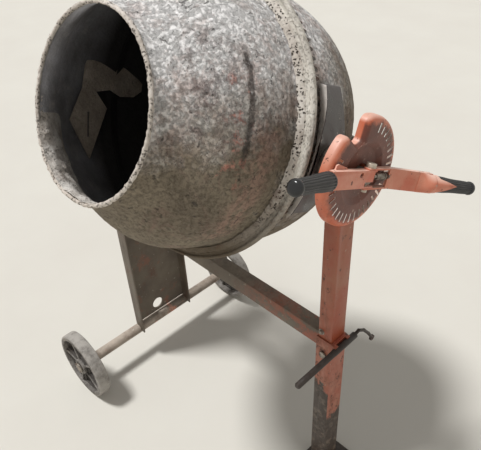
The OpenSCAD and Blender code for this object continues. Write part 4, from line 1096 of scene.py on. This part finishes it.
def makeGrip(name, place, node):
    look = gripShape
    letGo()
    bpy.ops.mesh.primitive_circle_add(vertices=look["ribs"] * 4, radius=look["bore"], location=(0, 0, 0))
    piece = bpy.context.object
    editAll()
    stations = list(look["collar"])
    for i in range(look["bodyRows"] + 1):
        part = i / look["bodyRows"]
        radius = look["startRadius"] + (look["tipRadius"] - look["startRadius"]) * part
        stations.append((look["bodyFrom"] + (look["bodyTo"] - look["bodyFrom"]) * part,
                         radius + 0.0004 * math.sin(part * 9)))
    stations += look["neck"]
    last = (0.0, look["bore"])
    for height, radius in stations:
        bpy.ops.mesh.extrude_edges_move(TRANSFORM_OT_translate={"value": (0, 0, height - last[0])})
        bpy.ops.transform.resize(value=(radius / last[1], radius / last[1], 1))
        last = (height, radius)
    bpy.ops.mesh.edge_face_add()
    # every second pair of lengthwise rows is drawn in, which leaves the ribs standing
    sector = 360 / (look["ribs"] * 4)
    selectPoints(piece, lambda p: look["ribsFrom"] < p.z < look["ribsTo"]
                 and round(math.degrees(math.atan2(p.y, p.x)) % 360 / sector) % 4 in (0, 1))
    bpy.ops.transform.resize(value=(look["groove"], look["groove"], 1))
    facesOut()
    leaveEdit()
    roughened(piece, name + "Wear", 0.02, 0.0005, detail=2)
    end = look["capAt"]
    cap = turned(name + "Cap", [(0.0, end - 0.001), (0.0120, end - 0.001), (look["cap"], end + 0.0008),
                                (look["cap"] + 0.0006, end + 0.003), (look["cap"] + 0.0004, end + 0.0065),
                                (0.0125, end + 0.0095), (0.0098, end + 0.0118), (0.0055, end + 0.0129),
                                (0.0, end + 0.0132)], 64)
    for part in (piece, cap):
        placed(part, place)
    finished(piece, "yoke", "grip_black", gripRubber, replaces=(node,), angle=28)
    finished(cap, "yoke", "grip_black", gripCap, replaces=(node,), angle=40)
    piece.name = name
    return piece


def onTang(height, lean):
    # the place of a piece on a tang of the handle, leaning away from the drum
    return (tiltPlace @ Matrix.Translation((gripShape["tangX"], 0, height))
            @ Matrix.Rotation(math.radians(lean), 4, "Y"))


nearTang = onTang(gripShape["nearTang"], gripShape["nearLean"])
farTang = onTang(gripShape["farTang"], 180 - gripShape["farLean"])
makeGrip("nearGrip", nearTang @ Matrix.Translation((0, 0, gripShape["nearGap"])), "grip_near")
makeGrip("farGrip", farTang @ Matrix.Translation((0, 0, gripShape["farGap"])), "grip_far")
print("grips made")


# The far arm's web swells out at its end, to lie on the grip's outer side

# a row of the cheek is its height above the arm's end, and how wide and how deep it is there
cheekShape = {"radius": 0.0188, "spread": 78, "thick": 0.0014, "length": 0.106,
              "rows": ((0.003, 1.0, 1.0), (0.0, 1.0, 1.0), (-0.005, 0.93, 1.0), (-0.010, 0.76, 1.02),
                       (-0.015, 0.54, 1.05), (-0.020, 0.34, 1.08), (-0.026, 0.19, 1.10), (-0.033, 0.13, 1.10))}


def makeCheek():
    look = cheekShape
    letGo()
    bpy.ops.mesh.primitive_circle_add(vertices=96, radius=look["radius"], location=(0, 0, look["rows"][0][0]))
    piece = settled(bpy.context.object)
    piece.name = "farCheek"
    selectPoints(piece, lambda p: p.x > -look["radius"] * math.cos(math.radians(look["spread"])))
    bpy.ops.mesh.delete(type="VERT")
    bpy.ops.mesh.select_all(action="SELECT")
    last = look["rows"][0]
    for row in look["rows"][1:]:
        bpy.ops.mesh.extrude_edges_move(TRANSFORM_OT_translate={"value": (0, 0, row[0] - last[0])})
        bpy.ops.transform.resize(value=(row[1] / last[1], row[2] / last[2], 1), center_override=(0, 0, row[0]))
        last = row
    facesOut()
    leaveEdit()
    applied(piece, "SOLIDIFY", thickness=look["thick"], offset=0.0)
    applied(piece, "BEVEL", width=0.0004, segments=2, limit_method="ANGLE")
    placed(piece, farTang @ Matrix.Translation((0, 0, look["length"])))
    return finished(piece, "yoke", "orange_paint", leverPaint, angle=45)


makeCheek()
print("cheek made")


# Bolts: one is modelled, and the rest are copies of it

boltShape = {"across": 0.013, "height": 0.0055, "inset": 0.0011, "crown": 0.0007, "washer": 0.0105,
             "washerThick": 0.0016}


def makeBolt():
    look = boltShape
    letGo()
    bpy.ops.mesh.primitive_cylinder_add(vertices=6, radius=look["across"] / 2 / math.cos(math.pi / 6),
                                        depth=look["height"],
                                        location=(0, 0, look["washerThick"] + look["height"] / 2))
    head = settled(bpy.context.object)
    selectFaces(head, lambda f: f.normal.z > 0.9)
    bpy.ops.mesh.inset(thickness=look["inset"], depth=look["crown"])
    leaveEdit()
    applied(head, "BEVEL", width=0.0003, segments=1, limit_method="ANGLE")
    t = look["washerThick"]
    washer = turned("washer", [(0.0, -0.0004), (look["washer"] - 0.0003, -0.0004), (look["washer"], 0.0),
                               (look["washer"], t - 0.0004), (look["washer"] - 0.0004, t), (0.0, t)], 28)
    return joined("boltPattern", [head, washer])


boltPattern = makeBolt()


def putBolts(name, body, slot, finish, spots):
    # a spot is a point, the way the head looks, and its size against the pattern
    pieces = []
    for number, (point, direction, size) in enumerate(spots):
        bolt = copied(boltPattern)
        turn = Matrix.Rotation(number * 0.7, 4, "Z")
        pieces.append(placed(bolt, towards(point, direction) @ turn @ Matrix.Scale(size, 4)))
    return finished(joined(name, pieces), body, slot, finish, angle=30)


def onDrum(angle, radius, s):
    turn = math.radians(angle)
    return drumPlace @ Vector((radius * math.cos(turn), radius * math.sin(turn), s))


def onTilt(x, n, s):
    return tiltPlace @ Vector((x, n, s))


# one on the upright's web, four on the beam's plate, one on the post's sleeve, and three on each side
# of the upright for the housing
webX = -0.716
plateX = webX + 0.004
standBolts = [((webX, -0.091, 0.474), (1, 0, 0), 0.9)]
standBolts += [((plateX, y, z), (1, 0, 0), 0.8) for y in (-0.009, 0.043) for z in (0.461, 0.522)]
standBolts += [((-0.010, -0.0235, 0.549), (0, -1, 0), 0.75)]
standBolts += [((webX - 0.064, y, z), (0, math.copysign(1, y), 0), 0.7)
               for y in (-0.0905, 0.0905) for z in (0.81, 0.90, 0.99)]
putBolts("standBolts", "stand", "bare_steel", oldSteel, standBolts)
drumBolts = [(onDrum(a, 0.046, -0.218), -drumAxis, 0.85) for a in range(0, 360, 60)]
putBolts("spindleBolts", "drum", "bare_steel", oldSteel, drumBolts)
trunnionBolts = [((-0.644, 0.0245 * math.cos(turn), mixer["axisHeight"] + 0.0245 * math.sin(turn)),
                  (-1, 0, 0), 0.6) for turn in map(math.radians, range(45, 360, 90))]
putBolts("trunnionBolts", "yoke", "bare_steel", oldSteel, trunnionBolts)
bpy.data.objects.remove(boltPattern)
print("bolts placed")


# Weld beads

# a ripple is three rings: the share of the step between them, and how much each grows
weldShape = {"radius": 0.00258, "step": 0.0030, "rings": ((0.45, 1.22), (0.35, 1.0), (0.2, 1 / 1.22)),
             "grain": 0.0014}


def makeWelds(name, body, slot, finish, runs):
    look = weldShape
    pieces = []
    for start, end in runs:
        way = Vector(end) - Vector(start)
        letGo()
        bpy.ops.mesh.primitive_circle_add(vertices=10, radius=look["radius"], location=(0, 0, 0))
        bead = bpy.context.object
        editAll()
        for share, grow in look["rings"]:
            bpy.ops.mesh.extrude_edges_move(TRANSFORM_OT_translate={"value": (0, 0, look["step"] * share)})
            bpy.ops.transform.resize(value=(grow, grow, 1))
        leaveEdit()
        applied(bead, "ARRAY", fit_type="FIT_LENGTH", fit_length=way.length, use_relative_offset=False,
                use_constant_offset=True, constant_offset_displace=(0, 0, look["step"]),
                use_merge_vertices=True, merge_threshold=0.0001)
        pickUp(bead)
        editAll()
        bpy.ops.mesh.remove_doubles(threshold=0.00005)
        bpy.ops.mesh.select_all(action="DESELECT")
        bpy.ops.mesh.select_mode(type="EDGE")
        bpy.ops.mesh.select_non_manifold()
        bpy.ops.mesh.fill_holes(sides=0)
        bpy.ops.mesh.select_all(action="SELECT")
        bpy.ops.mesh.fill_holes(sides=0)
        facesOut()
        leaveEdit()
        pieces.append(placed(bead, towards(start, way)))
    piece = joined(name, pieces)
    roughened(piece, name + "Grain", 0.006, look["grain"], detail=2)
    return finished(piece, body, slot, finish, angle=60)


# round the beam's end at the post, at the sleeve, round the foot, and beside the beam at the upright
legX, legY, footTop = 0.0217, 0.0267, 0.009
beamSides = (-0.0015, 0.0355)
standRuns = [((-legX, y, 0.4685), (-legX, y, 0.5145)) for y in beamSides]
standRuns += [((-legX, -0.001, 0.5150), (-legX, 0.0350, 0.5150)),
              ((legX, -legY + 0.001, 0.4950), (legX, legY - 0.001, 0.4950))]
standRuns += [((-legX, y, footTop), (legX, y, footTop)) for y in (-legY, legY)]
standRuns += [((x, -legY, footTop), (x, legY, footTop)) for x in (-legX, legX)]
standRuns += [((plateX, y, 0.469), (plateX, y, 0.514)) for y in beamSides]
makeWelds("standWelds", "stand", "stand_dark", barPaint, standRuns)
print("welds made")


# The catch: a spring on a rod between the far arm's flanges, with a clip at its end

catchShape = {"wire": 0.0011, "coil": 0.0055, "turns": 9, "length": 0.026}


def makeCatchWork():
    look = catchShape
    letGo()
    bpy.ops.mesh.primitive_circle_add(vertices=8, radius=look["wire"], location=(look["coil"], 0, 0),
                                      rotation=(math.pi / 2, 0, 0))
    spring = settled(bpy.context.object)
    applied(spring, "SCREW", axis="Z", screw_offset=look["length"] / look["turns"], iterations=look["turns"],
            steps=14, render_steps=14, use_merge_vertices=False, angle=2 * math.pi)
    rod = turned("catchRod", [(0, -0.006), (0.0030, -0.006), (0.0034, -0.0054), (0.0034, 0.040),
                              (0.0060, 0.040), (0.0062, 0.0402), (0.0062, 0.0445), (0.0058, 0.0450),
                              (0, 0.0450)], 24)
    clip = turned("catchClip", [(0.0034, 0.0), (0.0078, 0.0), (0.0082, 0.0004), (0.0082, 0.0016),
                                (0.0078, 0.002), (0.0034, 0.002)], 24)
    placed(clip, Matrix.Translation((0, 0, look["length"])))
    work = joined("catchSpring", [spring, rod, clip])
    placed(work, towards(onTilt(0.0565, 0.004, -0.020), tiltPlace.to_3x3() @ Vector((0, 0, -1))))
    return finished(work, "yoke", "bare_steel", oldSteel, angle=40)


makeCatchWork()
print("catch made")


# Floor, light and camera

roomLook = {"floor": (219, 216, 207), "patch": (214, 210, 201), "sky": (232, 229, 222),
            "fillColour": (1.0, 0.98, 0.95, 1.0), "fill": 0.36,
            "key": 2.65, "keyAngle": 10, "keyFrom": (-0.26, -0.30, 0.97)}


def makeFloor():
    letGo()
    bpy.ops.mesh.primitive_plane_add(size=40, location=(0, 0, 0))
    floor = bpy.context.object
    floor.name = "studioFloor"
    finish, shader, place = startFinish("studioFloorFinish", 0.9)
    tone = mixed(cloudy(place, 1.7, 0.3, 0.7, 6.0, 0.6), roomLook["floor"], roomLook["patch"])
    wired(finish, shader, tone)
    given(floor, finish)


def makeRoom():
    look = roomLook
    world = bpy.data.worlds.new("studio")
    bpy.context.scene.world = world
    world.use_nodes = True
    tree = world.node_tree
    tree.nodes.clear()
    rays = addNode("ShaderNodeLightPath", {}, tree).outputs
    straight = counted("MAXIMUM", rays["Is Camera Ray"], rays["Is Glossy Ray"])
    straight = counted("MAXIMUM", straight, rays["Is Transmission Ray"])
    fill = addNode("ShaderNodeBackground", {"Color": look["fillColour"], "Strength": look["fill"]}, tree)
    seen = addNode("ShaderNodeBackground", {"Color": screen(*look["sky"])}, tree)
    mix = addNode("ShaderNodeMixShader", {0: straight, 1: fill.outputs[0], 2: seen.outputs[0]})
    addNode("ShaderNodeOutputWorld", {"Surface": mix.outputs[0]})
    letGo()
    bpy.ops.object.light_add(type="SUN", location=(0, 0, 3))
    key = bpy.context.object
    key.name = "keyLight"
    key.data.energy = look["key"]
    key.data.angle = math.radians(look["keyAngle"])
    key.rotation_euler = Vector(look["keyFrom"]).to_track_quat("Z", "Y").to_euler()


cameraLook = {"place": (0.5334, -0.7507, 1.5177), "yaw": 47.55, "pitch": -36.39, "roll": -3.21, "lens": 42.83}


def makeCamera():
    look = cameraLook
    letGo()
    bpy.ops.object.camera_add()
    camera = bpy.context.object
    camera.name = "photoCamera"
    camera.data.sensor_fit = "HORIZONTAL"
    camera.data.sensor_width = 36
    camera.data.lens = look["lens"]
    camera.data.clip_start = 0.02
    camera.matrix_world = (Matrix.Translation(look["place"]) @ Matrix.Rotation(math.radians(look["yaw"]), 4, "Z")
                           @ Matrix.Rotation(math.radians(90 + look["pitch"]), 4, "X")
                           @ Matrix.Rotation(math.radians(look["roll"]), 4, "Z"))
    bpy.context.scene.camera = camera


makeFloor()
makeRoom()
makeCamera()
bpy.context.scene.view_settings.view_transform = "Standard"
print("room and camera set")
